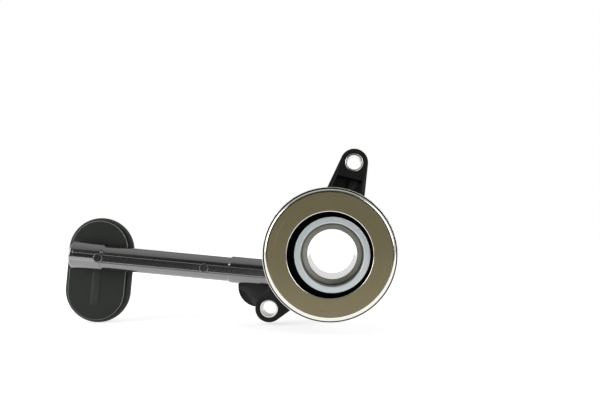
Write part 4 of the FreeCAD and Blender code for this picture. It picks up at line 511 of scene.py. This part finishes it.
def moulded_gloss():
    """The arm of the same moulding, glossy as it came from a polished mould."""
    s = Shader("moulded_gloss", (0.006, 0.006, 0.006), 0.2, 0.0, 0.3, (1.0, 0.12, 2.8))
    patches = s.noise(70, 4, 0.5, (0.4, 1.0, 1.0))
    black = s.blend(patches, (0.004, 0.004, 0.004), (0.009, 0.009, 0.008))
    # The edges of rib, pads and end cap are painted lighter: a painted highlight along their roundings
    y, along, up, off_axis = arm_axes(s)
    top = -ARM_DEPTH - RIB_TOP
    on_rib = s.within(y, top - 0.15, top - 0.10, top + 0.20, top + 0.25)
    painted_highlight = s.math("MULTIPLY", s.near(s.math("ABSOLUTE", up), RIB_HALF - 0.2, 0.16, 0.24), on_rib)
    for pad_along in PADS_ALONG:
        rim = s.near(s.radius(arm_place(pad_along, 0)), PAD_R - 0.2, 0.20, 0.26)
        rim = s.math("MULTIPLY", rim, s.ramp(y, top - 0.15, top - 0.10, 1, 0))
        painted_highlight = s.math("MAXIMUM", painted_highlight, rim)
    cap_end = s.ramp(along, CAP_OUT + 0.7, CAP_OUT + 0.8, 1, 0)
    cap_rim = s.math("MULTIPLY", cap_end, s.ramp(off_axis, ARM_END_R - 0.9, ARM_END_R - 0.8, 0, 1))
    painted_highlight = s.math("MAXIMUM", painted_highlight, cap_rim)
    s.colour(s.blend(painted_highlight, black, (0.24, 0.25, 0.24)))
    s.roughness(s.ramp(patches, 0.3, 0.7, 0.22, 0.32))
    s.bump(s.noise(900, 2), 0.003)
    return s.material


def contact_steel():
    """Finely turned face with an oily olive-bronze tone, and a bright polished rounding; all behind the face
    is painted near black, as painted shade.
    """
    s = Shader("contact_steel", (0.36, 0.33, 0.25), 0.33, 1.0)
    lines, radius = turning_lines(s, (FLOAT, 0), 4.0)
    patches = s.noise(45, 3)
    face = s.blend(lines, (0.225, 0.189, 0.099), (0.310, 0.266, 0.147))
    face = s.blend(s.ramp(patches, 0.3, 0.75, 0, 0.5), face, (0.218, 0.189, 0.112))
    edge = s.ramp(radius, CONTACT_R - 1.95, CONTACT_R - 1.85, 0, 1)
    inner = s.ramp(radius, CONTACT_BORE_R + 0.3, CONTACT_BORE_R + 0.5, 1, 0)
    polished = s.math("MAXIMUM", edge, inner)
    _, y, _ = s.axes()
    # Behind the front face, bore, race and rear are painted near black: painted shade of the deep gap round
    # the nose
    inside = s.ramp(radius, CONTACT_R - 0.4, CONTACT_R - 0.2, 1, 0)
    behind = s.math("MULTIPLY", s.ramp(y, -OVERALL + 1.0, -OVERALL + 1.8, 0, 1), inside)
    s.colour(s.blend(behind, s.blend(polished, face, (0.82, 0.80, 0.73)), (0.020, 0.020, 0.018)))
    turned = s.math("SUBTRACT", 1.0, polished)
    turned_roughness = s.math("MULTIPLY", turned, s.ramp(lines, 0.3, 0.7, 0.30, 0.40))
    s.roughness(s.math("ADD", turned_roughness, s.math("MULTIPLY", polished, 0.16)))
    s.metallic(s.ramp(polished, 0, 1, 0.35, 1.0))
    s.bump(s.math("MULTIPLY", lines, turned), 0.006)
    return s.material


def turned_metal(name, colour, roughness, centre):
    """Turned or ground metal with rings about an axis along Y and slight patches."""
    s = Shader(name, colour, roughness, 1.0)
    lines, _ = turning_lines(s, centre, 3.0)
    patches = s.noise(80, 3)
    dark = tuple(c * 0.82 for c in colour)
    tone = s.blend(patches, dark, colour)
    s.colour(s.blend(s.ramp(lines, 0.3, 0.7, 0, 0.35), tone, dark))
    s.roughness(s.ramp(patches, 0.25, 0.75, roughness - 0.05, roughness + 0.05))
    s.bump(lines, 0.003, 0.12)
    return s.material


def drawn_metal(name, colour, roughness, grain=700, depth=0.004, edge=0.1):
    """Pressed sheet, wire or plated metal: patches and a fine grain."""
    s = Shader(name, colour, roughness, 1.0)
    patches = s.noise(130, 4)
    dark = tuple(c * 0.7 for c in colour)
    s.colour(s.blend(s.ramp(patches, 0.3, 0.7, 0, 1), dark, colour))
    s.roughness(s.ramp(s.noise(260, 3), 0.3, 0.7, roughness - 0.06, roughness + 0.08))
    s.bump(s.noise(grain, 2), depth, edge)
    return s.material


def rubber(name, colour, roughness):
    """Moulded rubber: dull, with a fine skin and a faint bloom."""
    s = Shader(name, colour, roughness, 0.0, 0.4)
    bloom = s.noise(60, 5, 0.6)
    light = tuple(min(1.0, c * 1.7 + 0.006) for c in colour)
    s.colour(s.blend(s.ramp(bloom, 0.4, 0.75, 0, 1), colour, light))
    s.roughness(s.ramp(bloom, 0.3, 0.7, roughness - 0.08, roughness + 0.1))
    s.bump(s.noise(900, 3), 0.02, 0.2)
    return s.material


def plastic(name, colour, roughness):
    """Plain moulded plastic, slightly mottled."""
    s = Shader(name, colour, roughness)
    dark = tuple(c * 0.85 for c in colour)
    s.colour(s.blend(s.noise(100, 4), dark, colour))
    s.roughness(s.ramp(s.noise(300, 3), 0.3, 0.7, roughness - 0.07, roughness + 0.07))
    s.bump(s.noise(800, 2), 0.008, 0.12)
    return s.material


def sleeve_steel():
    """Ground sleeve with a bright honed bore and a dull phosphated nose."""
    s = Shader("sleeve_steel", (0.7, 0.69, 0.65), 0.2, 1.0)
    _, y, _ = s.axes()
    lines, _ = turning_lines(s, (0, 0), 2.5)
    patches = s.noise(80, 3)
    nose = s.ramp(y, -SLEEVE_FRONT + 0.2, -SLEEVE_FRONT + 1.0, 1, 0)
    bright = s.blend(patches, (0.86, 0.86, 0.84), (0.95, 0.95, 0.94))
    dull = s.blend(patches, (0.66, 0.66, 0.57), (0.78, 0.78, 0.70))
    mouth = s.ramp(s.radius(), SLEEVE_BORE_R + 0.25, SLEEVE_BORE_R + 0.45, 1, 0)
    rim = s.math("MULTIPLY", nose, mouth)
    s.colour(s.blend(rim, s.blend(nose, bright, dull), (0.06, 0.06, 0.05)))
    duller = s.math("MULTIPLY", nose, 0.25)
    s.roughness(s.math("ADD", s.ramp(patches, 0.25, 0.75, 0.14, 0.2), duller))
    s.metallic(s.ramp(nose, 0, 1, 1.0, 0.3))
    s.bump(lines, 0.002)
    return s.material


def cover_steel():
    """Pressed sheet: pale front edge with a dark line outside, and a flange inside; line and flange are
    painted near black as painted shade.
    """
    s = Shader("cover_steel", (0.46, 0.46, 0.45), 0.34, 1.0)
    _, y, _ = s.axes()
    radius = s.radius((FLOAT, 0))
    patches = s.noise(130, 4)
    steel = s.blend(patches, (0.34, 0.34, 0.33), (0.48, 0.48, 0.46))
    front = s.ramp(y, -COVER_FRONT + 0.2, -COVER_FRONT + 0.6, 1, 0)
    # The inner part of the front face is painted near black: painted shade, a dark line beside the contact
    # ring
    rim = s.math("MULTIPLY", front, s.ramp(radius, COVER_R - 0.36, COVER_R - 0.30, 1, 0))
    steel = s.blend(front, steel, (0.80, 0.79, 0.76))
    # Ahead of the rear, the flange inside is painted near black: painted shade in the deep gap behind the
    # contact ring
    ahead = s.ramp(y, -COVER_REAR - 0.3, -COVER_REAR - 0.1, 1, 0)
    inside = s.math("MULTIPLY", s.ramp(radius, 26.0, 28.0, 1, 0), ahead)
    s.colour(s.blend(s.math("MAXIMUM", rim, inside), steel, (0.010, 0.010, 0.010)))
    s.roughness(s.ramp(s.noise(260, 3), 0.3, 0.7, 0.28, 0.42))
    s.bump(s.noise(700, 2), 0.003)
    return s.material


def piston_aluminium():
    """Anodised piston: pale nose and a bore painted near black."""
    s = Shader("piston_aluminium", (0.82, 0.87, 0.88), 0.34, 0.3)
    radius = s.radius()
    lines, _ = turning_lines(s, (0, 0), 2.0)
    patches = s.noise(80, 3)
    bore = s.ramp(radius, PISTON_BORE_R + 0.06, PISTON_BORE_R + 0.16, 1, 0)
    pale = s.blend(patches, (0.72, 0.79, 0.80), (0.82, 0.89, 0.90))
    s.colour(s.blend(bore, pale, (0.05, 0.05, 0.045)))
    s.roughness(s.ramp(patches, 0.25, 0.75, 0.29, 0.39))
    s.bump(lines, 0.001)
    return s.material


MATERIALS = {
    "moulded_black": moulded_black(),
    "moulded_gloss": moulded_gloss(),
    "sleeve_steel": sleeve_steel(),
    "cover_steel": cover_steel(),
    "piston_aluminium": piston_aluminium(),
    "contact_steel": contact_steel(),
    "ring_steel": turned_metal("ring_steel", (0.55, 0.55, 0.55), 0.25, (FLOAT, 0)),
    "ball_steel": drawn_metal("ball_steel", (0.78, 0.78, 0.79), 0.12, grain=300, depth=0.001, edge=0),
    "pressed_steel": drawn_metal("pressed_steel", (0.46, 0.46, 0.45), 0.34),
    "spring_steel": drawn_metal("spring_steel", (0.26, 0.26, 0.27), 0.34),
    "blued_steel": drawn_metal("blued_steel", (0.014, 0.014, 0.015), 0.5),
    "screw_steel": drawn_metal("screw_steel", (0.60, 0.60, 0.57), 0.30),
    "bolt_sleeve_steel": drawn_metal("bolt_sleeve_steel", (0.88, 0.87, 0.82), 0.3),
    "brass": turned_metal("brass", (0.72, 0.54, 0.26), 0.28, plate_place(0, BLEED_UP)),
    "rubber_seal": rubber("rubber_seal", (0.014, 0.014, 0.014), 0.5),
    "rubber_boot": rubber("rubber_boot", (0.016, 0.016, 0.016), 0.6),
    "rubber_frame": rubber("rubber_frame", (0.046, 0.048, 0.043), 0.66),
    "rubber_cap": rubber("rubber_cap", (0.018, 0.018, 0.018), 0.6),
    "band_plastic": plastic("band_plastic", (0.09, 0.08, 0.07), 0.45),
    "cage_plastic": plastic("cage_plastic", (0.52, 0.46, 0.33), 0.45),
}


def paint(piece, slot, look=None):
    """Give a piece the material named by its slot, or the material of another look."""
    piece.data.materials.clear()
    piece.data.materials.append(MATERIALS[look or slot])


# Moulded housing

moulding = copy_nodes("moulding", ["housing", "arm_tube", "port_head"], "cylinder_housing")
paint(moulding, "moulded_black")

# The same moulding's arm and port flange again, a hair outside the first, with moulded roundings
arm_outline = rounded([
    (ARM_OUT, 0), (ARM_OUT, ARM_END_R + SKIN, 0.1),
    (END_TAPER[0], ARM_END_R + SKIN, 0.5), (END_TAPER[1], ARM_R + SKIN, 0.5),
    (ROOT_TAPER[0], ARM_R + SKIN, 0.4), (ROOT_TAPER[1], ARM_ROOT_R + SKIN, 0.5),
    (ARM_IN, ARM_ROOT_R + SKIN), (ARM_IN, 0)])
ARM_FLAT = -0.48                # the arm's flat back, a hair in front of the moulding's
skins = [arm_lathe("arm_skin", arm_outline, (), 144, ARM_FLAT)]

CROWN = RIB_TOP + SKIN
RIB_STEP = 0.35                 # the rib's sides lie this much lower than its top
rib_side = [(RIB_FOOT_HALF, 5.5), (RIB_FOOT_HALF, CROWN - RIB_STEP, 0.2),
            (RIB_HALF, CROWN - RIB_STEP, 0.08), (RIB_HALF, CROWN, 0.15)]
rib_section = rounded([(-up, *rest) for up, *rest in rib_side] + rib_side[::-1], 4)
skins.append(bar("arm_rib_skin", rib_section, PADS_ALONG[0], ARM_IN, on_arm))

PAD_TOP = -ARM_DEPTH - CROWN - 0.45
PAD_FOOT = -ARM_DEPTH - 6.0
pad_outline = rounded([(0, PAD_FOOT), (PAD_R + SKIN, PAD_FOOT), (PAD_R + SKIN, PAD_TOP, 0.3), (0, PAD_TOP)])
for name, along in zip(("outer_pad_skin", "inner_pad_skin"), PADS_ALONG):
    skins.append(lathe(name, pad_outline, "cylinder_housing", (), arm_place(along, 0), 64))
for skin in skins:
    paint(skin, "moulded_black", "moulded_gloss")

FLANGE_FRONT = -FLANGE_DEPTH - SKIN
FLANGE_REAR = -0.25
FLANGE_MIDST = 15.0             # corners this far in only give the rounding its direction
flange_section = rounded([(0, FLANGE_REAR), (0, FLANGE_FRONT, 0.5), (FLANGE_MIDST, FLANGE_FRONT),
                          (FLANGE_MIDST, FLANGE_REAR)], 6)[:-2]
flange = plate_body("port_flange_skin", [
    (stadium(FLANGE_HALF[0] + SKIN - inset, FLANGE_HALF[1] + SKIN - inset, 40), place)
    for inset, place in flange_section], False)
paint(flange, "moulded_black")

BAND_FRONT = -BAND_DEPTH - SKIN
band_side = [(BAND_FOOT_HALF, -2.5), (BAND_FOOT_HALF, FLANGE_FRONT), (BAND_TOP_HALF + SKIN, BAND_FRONT, 0.5)]
band_section = rounded([(-across, *rest) for across, *rest in band_side] + band_side[::-1], 4)
band = bar("channel_band_skin", band_section, *BAND_RUN,
           lambda up, across, place: on_plate(across, up, place))
paint(band, "moulded_black")

# Release bearing: its ring is hollowed for the balls' race, and a scribed line runs round the face

CONTACT_REAR, CONTACT_STEP, SCRIBED = 49.2, 54.8, OVERALL - 0.04
contact_outline = rounded(at_depth([
    (CONTACT_BORE_R, CONTACT_REAR, 0.3),
    (26.3, CONTACT_REAR), (26.0, 49.9), (25.9, 50.6), (26.0, 51.3), (26.4, 52.1),
    (26.4, CONTACT_STEP, 0.4),
    (CONTACT_R, CONTACT_STEP, 0.3),
    (CONTACT_R, OVERALL, 1.9),
    (28.9, OVERALL), (28.85, SCRIBED), (28.65, SCRIBED), (28.6, OVERALL),
    (CONTACT_BORE_R, OVERALL, 0.45),
]), 8)
ring = lathe("contact_ring_turned", contact_outline, "contact_group", ["contact_ring"], (FLOAT, 0), 192)
paint(ring, "contact_steel")

COVER_BORE_R, COVER_FLOOR = 22.2, 47.6
cover_outline = rounded(at_depth([
    (COVER_BORE_R, COVER_REAR, 0.3),
    (COVER_R, COVER_REAR, 1.1),
    (COVER_R, COVER_FRONT, 0.4),
    (COVER_IN_R, COVER_FRONT, 0.3),
    (COVER_IN_R, COVER_FLOOR, 0.2),
    (COVER_BORE_R, COVER_FLOOR, 0.3),
]))
cover = lathe("bearing_cover_pressed", cover_outline, "bearing_fixed_group", ["bearing_cover"],
              (FLOAT, 0), 192)
paint(cover, "pressed_steel", "cover_steel")

# Piston and guide sleeve

PISTON_FRONT, PISTON_REAR = 56.0, 23.5
PISTON_R, PISTON_BODY_R, PISTON_GROOVE_R = 20.7, 19.99, 19.52
TAIL_R, TAIL_IN_R, TAIL_END = 19.1, 17.9, 21.9
SPRING_GROOVE_R, SCRAPER_GROOVE_R = 19.1, 17.85
piston_outline = rounded(at_depth([
    (PISTON_BORE_R, PISTON_REAR),
    # Tail that the seal hooks over
    (TAIL_IN_R, PISTON_REAR), (TAIL_IN_R, TAIL_END, 0.2), (TAIL_R, TAIL_END, 0.2), (TAIL_R, PISTON_REAR),
    # Groove of the guide band
    (PISTON_R, PISTON_REAR, 0.2), (PISTON_R, 24.22), (PISTON_GROOVE_R, 24.22), (PISTON_GROOVE_R, 26.28),
    (PISTON_R, 26.28), (PISTON_R, 27.0, 0.2),
    (PISTON_BODY_R, 27.0), (PISTON_BODY_R, CARRIER_REAR, 0.1), (NOSE_R, CARRIER_REAR),
    # Groove of the centering spring
    (NOSE_R, 48.12), (SPRING_GROOVE_R, 48.12), (SPRING_GROOVE_R, 48.73), (NOSE_R, 48.73),
    (NOSE_R, PISTON_FRONT, 0.6), (PISTON_BORE_R, PISTON_FRONT, 0.6),
    # Groove of the scraper
    (PISTON_BORE_R, 39.03), (SCRAPER_GROOVE_R, 39.03), (SCRAPER_GROOVE_R, 36.97), (PISTON_BORE_R, 36.97),
]), 8)
piston = lathe("piston_turned", piston_outline, "piston_group", ["piston"])
paint(piston, "piston_aluminium")

SLEEVE_FLANGE_R, SLEEVE_REAR, SLEEVE_FLANGE_DEPTH = 20.6, -8.0, -5.5
sleeve_outline = rounded(at_depth([
    (SLEEVE_BORE_R + 0.4, SLEEVE_REAR, 0.2), (SLEEVE_FLANGE_R, SLEEVE_REAR, 0.3),
    (SLEEVE_FLANGE_R, SLEEVE_FLANGE_DEPTH, 0.3), (SLEEVE_R, SLEEVE_FLANGE_DEPTH),
    (SLEEVE_R, SLEEVE_FRONT, 0.3), (SLEEVE_BORE_R + 0.4, SLEEVE_FRONT, 0.15),
    (SLEEVE_BORE_R, SLEEVE_FRONT - 0.7, 0.3), (SLEEVE_BORE_R, SLEEVE_REAR + 0.4, 0.3),
]), 6)
sleeve = lathe("guide_sleeve_ground", sleeve_outline, "cylinder_housing", ["guide_sleeve"])
paint(sleeve, "sleeve_steel")

# Preload spring and dust boot

SPRING_LENGTH = CARRIER_REAR - BASE_DEPTH
SPRING_R, WIRE, COILS, COIL_STEPS = 29.6, 1.15, 4, 56
closed = 2 * WIRE + 0.05        # rise of one closed turn
active = SPRING_LENGTH - 2 * WIRE - 2 * closed
spring_path = []
for step in range((COILS + 2) * COIL_STEPS + 1):
    turns = step / COIL_STEPS
    inside = min(max(turns - 1, 0), COILS)
    rise = WIRE + closed * (turns - inside) + active * inside / COILS
    angle = 2 * math.pi * turns
    spring_path.append((SPRING_R * math.cos(angle), -BASE_DEPTH - rise, SPRING_R * math.sin(angle)))

spring = tube("preload_spring_wound", spring_path, WIRE, "cylinder_housing", ["preload_spring"])
paint(spring, "spring_steel")

# The folds fade out over a twelfth of the boot's length at its cuff and its bead
BOOT_FOLDS, BOOT_STEPS = 5, 60
CUFF_R, BEAD_R = (BARREL_R + 0.03, 26.1), (25.73, 27.2)
cuff_end, bead_start = BASE_DEPTH + 2.4, CARRIER_REAR - 1.8
boot_inner = [(CUFF_R[0], BASE_DEPTH), (CUFF_R[0], cuff_end - 0.2)]
boot_outer = [(CUFF_R[1], BASE_DEPTH), (CUFF_R[1], cuff_end - 0.3)]
for step in range(1, BOOT_STEPS):
    share = step / BOOT_STEPS
    wave = 0.5 - 0.5 * math.cos(2 * math.pi * BOOT_FOLDS * share)
    ease = min(1.0, share * 12, (1 - share) * 12)
    depth = cuff_end + (bead_start - cuff_end) * share
    end_inset = (1 - ease) * (0.2 if share > 0.5 else -0.3)
    boot_inner.append((25.25 + 1.85 * wave * ease + end_inset, depth))
    boot_outer.append((25.95 + 1.93 * wave * ease + (1 - ease) * 0.3, depth))
boot_inner += [(BEAD_R[0], bead_start + 0.1), (BEAD_R[0], CARRIER_REAR)]
boot_outer += [(BEAD_R[1], bead_start + 0.2), (BEAD_R[1], CARRIER_REAR)]
boot_outline = at_depth(boot_inner + boot_outer[::-1])
boot = lathe("dust_boot_folded", boot_outline, "cylinder_housing", ["dust_boot"], (0, 0), 128, 50)
paint(boot, "rubber_boot")
for soft in (spring, boot):
    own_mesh(soft)

# Bolt sleeves and the arm's cap

bolt_outline = rounded([
    (BOLT_HOLE_R, 0, 0.25), (BOLT_SLEEVE_R, 0, 0.15),
    (BOLT_SLEEVE_R, -BOLT_SLEEVE_DEPTH, 0.5), (BOLT_HOLE_R, -BOLT_SLEEVE_DEPTH, 0.3)])
for side, centre in (("upper", UPPER_BOLT), ("lower", LOWER_BOLT)):
    bolt = lathe(f"{side}_bolt_sleeve_plated", bolt_outline, "cylinder_housing", [f"{side}_bolt_sleeve"],
                 centre, 72)
    paint(bolt, "bolt_sleeve_steel")

STEM_R, STEM_END = 3.2, -57.4
cap_outline = rounded([
    (CAP_OUT, 0), (CAP_OUT, ARM_END_R, 1.4), (ARM_OUT, ARM_END_R, 0.08), (ARM_OUT, STEM_R),
    (STEM_END, STEM_R, 0.4), (STEM_END, 0)])
cap = arm_lathe("arm_end_cap", cap_outline, ["arm_end_plug"])
paint(cap, "cap_plastic", "moulded_gloss")

# Port pieces

SEAL_HALF = (FLANGE_HALF[0] + 2.8, FLANGE_HALF[1] + 1.8)
WINDOW_INSET = 2.77
seal_section = rounded([
    (0, -0.3, 0.6), (0, 1.7, 0.6), (3.6, 1.7, 0.3), (3.6, 6.4, 0.3), (2.7, 6.4, 0.4), (2.7, 8.0, 0.4),
    (5.7, 8.0, 0.4), (5.7, 1.03, 0.1), (WINDOW_INSET, 1.03, 0.1), (WINDOW_INSET, -0.3, 0.3)], 4)
# The window follows the flange's own outline, which stands off less at the two ends
aperture = plate_body("aperture_seal_moulded", [
    (stadium(SEAL_HALF[0] - inset, SEAL_HALF[1] - inset + min(inset / WINDOW_INSET, 1.0)), place)
    for inset, place in seal_section], True, ["aperture_seal"])
paint(aperture, "rubber_frame")

# The clip is a wire bow over the line port
CLIP_PLACE, CLIP_HALF, CLIP_LOW, CLIP_HIGH, CLIP_BEND = 13.4, 5.3, 1.4, 19.6, 2.4
clip_side = [(-CLIP_HALF, CLIP_LOW)]
for step in range(11):
    angle = math.pi - math.pi / 2 * step / 10
    clip_side.append((-CLIP_HALF + CLIP_BEND + CLIP_BEND * math.cos(angle),
                      CLIP_HIGH - CLIP_BEND + CLIP_BEND * math.sin(angle)))
clip_path = [on_plate(x, z, CLIP_PLACE) for x, z in clip_side + [(-x, z) for x, z in clip_side[::-1]]]
clip = tube("line_clip_bent", clip_path, 0.8, "clip", ["line_clip"], 16)
paint(clip, "spring_steel")

BLEED = plate_place(0, BLEED_UP)
HEX_LOW, HEX_HIGH, HEX_FLAT = 15.4, 19.4, 5.0
SCREW_END = 28.4
screw_outline = rounded([
    (BLEED_BORE_R, 5.5, 0.1), (1.5, 5.5), (4.0, 7.7, 0.3), (4.0, HEX_LOW), (2.5, HEX_LOW), (2.5, 25.4, 0.5),
    (3.2, 26.6, 0.5), (2.4, SCREW_END, 0.4), (BLEED_BORE_R, SCREW_END, 0.3)])
screw = lathe("bleed_screw_turned", screw_outline, "bleeder", ["bleed_screw"], BLEED, 48)
paint(screw, "screw_steel")

HEX_STEPS, HEX_PROFILE = 72, 6  # angles round the hexagon, and points at each
HEX_BORE_R = 2.45
verts = []
for index in range(HEX_STEPS):
    angle = 2 * math.pi * index / HEX_STEPS
    reach = HEX_FLAT / math.cos(angle % (math.pi / 3) - math.pi / 6)
    chamfer = (reach - HEX_FLAT) * 0.6 + 0.05
    for radius, place in (
            (HEX_BORE_R, HEX_LOW), (HEX_FLAT - 0.15, HEX_LOW), (reach, HEX_LOW + chamfer),
            (reach, HEX_HIGH - chamfer), (HEX_FLAT - 0.15, HEX_HIGH), (HEX_BORE_R, HEX_HIGH)):
        x, z = leaning(BLEED, PLATE_LEAN, radius * math.cos(angle), radius * math.sin(angle))
        verts.append((x, place, z))
hex_faces = sheet_faces(HEX_STEPS, HEX_PROFILE, True, True)
hexagon = new_piece("bleed_screw_hexagon", verts, hex_faces, "bleeder", (), 25)
paint(hexagon, "screw_steel")

CAP_R, CAP_COLLAR_R, CAP_END = 4.4, 5.0, 29.6
rubber_outline = rounded([
    (0, 28.5), (3.3, 28.5, 0.5), (3.3, 19.5), (CAP_COLLAR_R, 19.5, 0.5), (CAP_COLLAR_R, 21.1, 0.5),
    (CAP_R, 21.7, 0.5), (CAP_R, CAP_END, 1.1), (0, CAP_END)])
rubber_cap = lathe("bleed_cap_moulded", rubber_outline, "bleeder_cap", ["bleed_cap"], BLEED, 64)
paint(rubber_cap, "rubber_cap")

# Pieces whose CAD shape is right as it is
for name, body, slot, *look in (
    ("bearing_outer_ring", "bearing_fixed_group", "ring_steel"),
    ("bearing_seal", "bearing_fixed_group", "rubber_seal"),
    ("bearing_balls", "cage_group", "ball_steel"),
    ("ball_cage", "cage_group", "cage_plastic"),
    ("bearing_carrier", "piston_group", "pressed_steel"),
    ("float_washer", "float_group", "pressed_steel"),
    ("centering_spring", "piston_group", "spring_steel", "blued_steel"),
    ("piston_seal", "piston_group", "rubber_seal"),
    ("guide_band", "piston_group", "band_plastic"),
    ("sleeve_scraper", "piston_group", "rubber_seal"),
    ("piston_stop_ring", "cylinder_housing", "spring_steel"),
    ("sleeve_retaining_ring", "cylinder_housing", "spring_steel"),
    ("sleeve_o_ring", "cylinder_housing", "rubber_seal"),
    ("port_seal", "cylinder_housing", "rubber_seal"),
    ("bleed_insert", "cylinder_housing", "brass"),
):
    paint(copy_nodes(f"{name}_finished", [name], body), slot, *look)

# Floor, light and camera

FLOOR = cad_box[0][2] - 0.0002
FLOOR_HALF, FLOOR_NEAR = 1.6, -0.30
floor_mesh = bpy.data.meshes.new("floor")
floor_corners = [(-FLOOR_HALF, FLOOR_NEAR, FLOOR), (FLOOR_HALF, FLOOR_NEAR, FLOOR),
                 (FLOOR_HALF, FLOOR_HALF, FLOOR), (-FLOOR_HALF, FLOOR_HALF, FLOOR)]
floor_mesh.from_pydata(floor_corners, [], [(0, 1, 2, 3)])
floor = bpy.data.objects.new("floor", floor_mesh)
bpy.context.scene.collection.objects.link(floor)

# The floor glows towards white away from the part, for rays from the camera and reflections only
floor_material = bpy.data.materials.new("floor")
floor_material.use_nodes = True
floor_material.node_tree.nodes.clear()
n = Nodes(floor_material.node_tree)
rays = n.node("ShaderNodeLightPath").outputs
seen = n.math("MAXIMUM", rays["Is Camera Ray"], rays["Is Glossy Ray"])
seen = n.math("MAXIMUM", seen, rays["Is Transmission Ray"])
away = n.node("ShaderNodeVectorMath", operation="LENGTH")
n.join(n.place(), away.inputs[0])
rise = n.ramp(away.outputs["Value"], 0.16, 0.50, 0.65, 1.0)
diffuse = n.node("ShaderNodeBsdfDiffuse")
diffuse.inputs["Color"].default_value = (0.82, 0.82, 0.82, 1)
glow = n.node("ShaderNodeEmission")
n.join(n.math("MULTIPLY", seen, rise), glow.inputs["Strength"])
both = n.node("ShaderNodeAddShader")
n.join(diffuse.outputs[0], both.inputs[0])
n.join(glow.outputs[0], both.inputs[1])
n.join(both.outputs[0], n.node("ShaderNodeOutputMaterial").inputs["Surface"])
floor_mesh.materials.append(floor_material)

# The studio is dark behind the camera and dimmer overhead; the camera itself sees white
world = bpy.data.worlds.new("studio")
bpy.context.scene.world = world
world.use_nodes = True
world.node_tree.nodes.clear()
n = Nodes(world.node_tree)
split = n.node("ShaderNodeSeparateXYZ")
n.join(n.node("ShaderNodeTexCoord").outputs["Generated"], split.inputs[0])
shade = n.ramp(split.outputs["Y"], -0.97, 0.1, 0.06, 0.95, "SMOOTHSTEP")
overhead = n.ramp(split.outputs["Z"], 0.1, 0.7, 1.0, 0.32)
studio = n.node("ShaderNodeBackground")
n.join(n.math("MULTIPLY", shade, overhead), studio.inputs["Strength"])
white = n.node("ShaderNodeBackground")
white.inputs["Strength"].default_value = 1.0
white.inputs["Color"].default_value = (1, 1, 1, 1)
mix = n.node("ShaderNodeMixShader")
n.join(n.node("ShaderNodeLightPath").outputs["Is Camera Ray"], mix.inputs[0])
n.join(studio.outputs[0], mix.inputs[1])
n.join(white.outputs[0], mix.inputs[2])
n.join(mix.outputs[0], n.node("ShaderNodeOutputWorld").inputs["Surface"])


def area_light(name, place, target, size, power):
    """Rectangular lamp that faces its target."""
    data = bpy.data.lights.new(name, "AREA")
    data.shape = "RECTANGLE"
    data.size, data.size_y = size
    data.energy = power
    lamp = bpy.data.objects.new(name, data)
    bpy.context.scene.collection.objects.link(lamp)
    lamp.location = place
    lamp.rotation_euler = (Vector(target) - Vector(place)).to_track_quat("-Z", "Y").to_euler()


area_light("top", (-0.10, 0.10, 0.75), (-0.06, 0, 0), (1.8, 1.0), 1.7)
area_light("left", (-1.25, -0.60, 0.50), (-0.05, -0.02, 0), (1.0, 1.0), 10.5)
area_light("right", (0.75, -0.75, 0.45), (0, -0.03, 0), (0.7, 0.7), 5.0)

camera_data = bpy.data.cameras.new("camera")
camera_data.lens = 32.28
camera_data.sensor_width = 36.0
camera_data.shift_x = -0.0543
camera_data.shift_y = 0.06
camera_data.clip_start = 0.01
camera_data.clip_end = 20.0
camera = bpy.data.objects.new("camera", camera_data)
bpy.context.scene.collection.objects.link(camera)
camera.location = (0.0002, -0.330, 0.0097)
camera.rotation_euler = (math.radians(90), 0, 0)
bpy.context.scene.camera = camera

bpy.context.scene.view_settings.view_transform = "Standard"
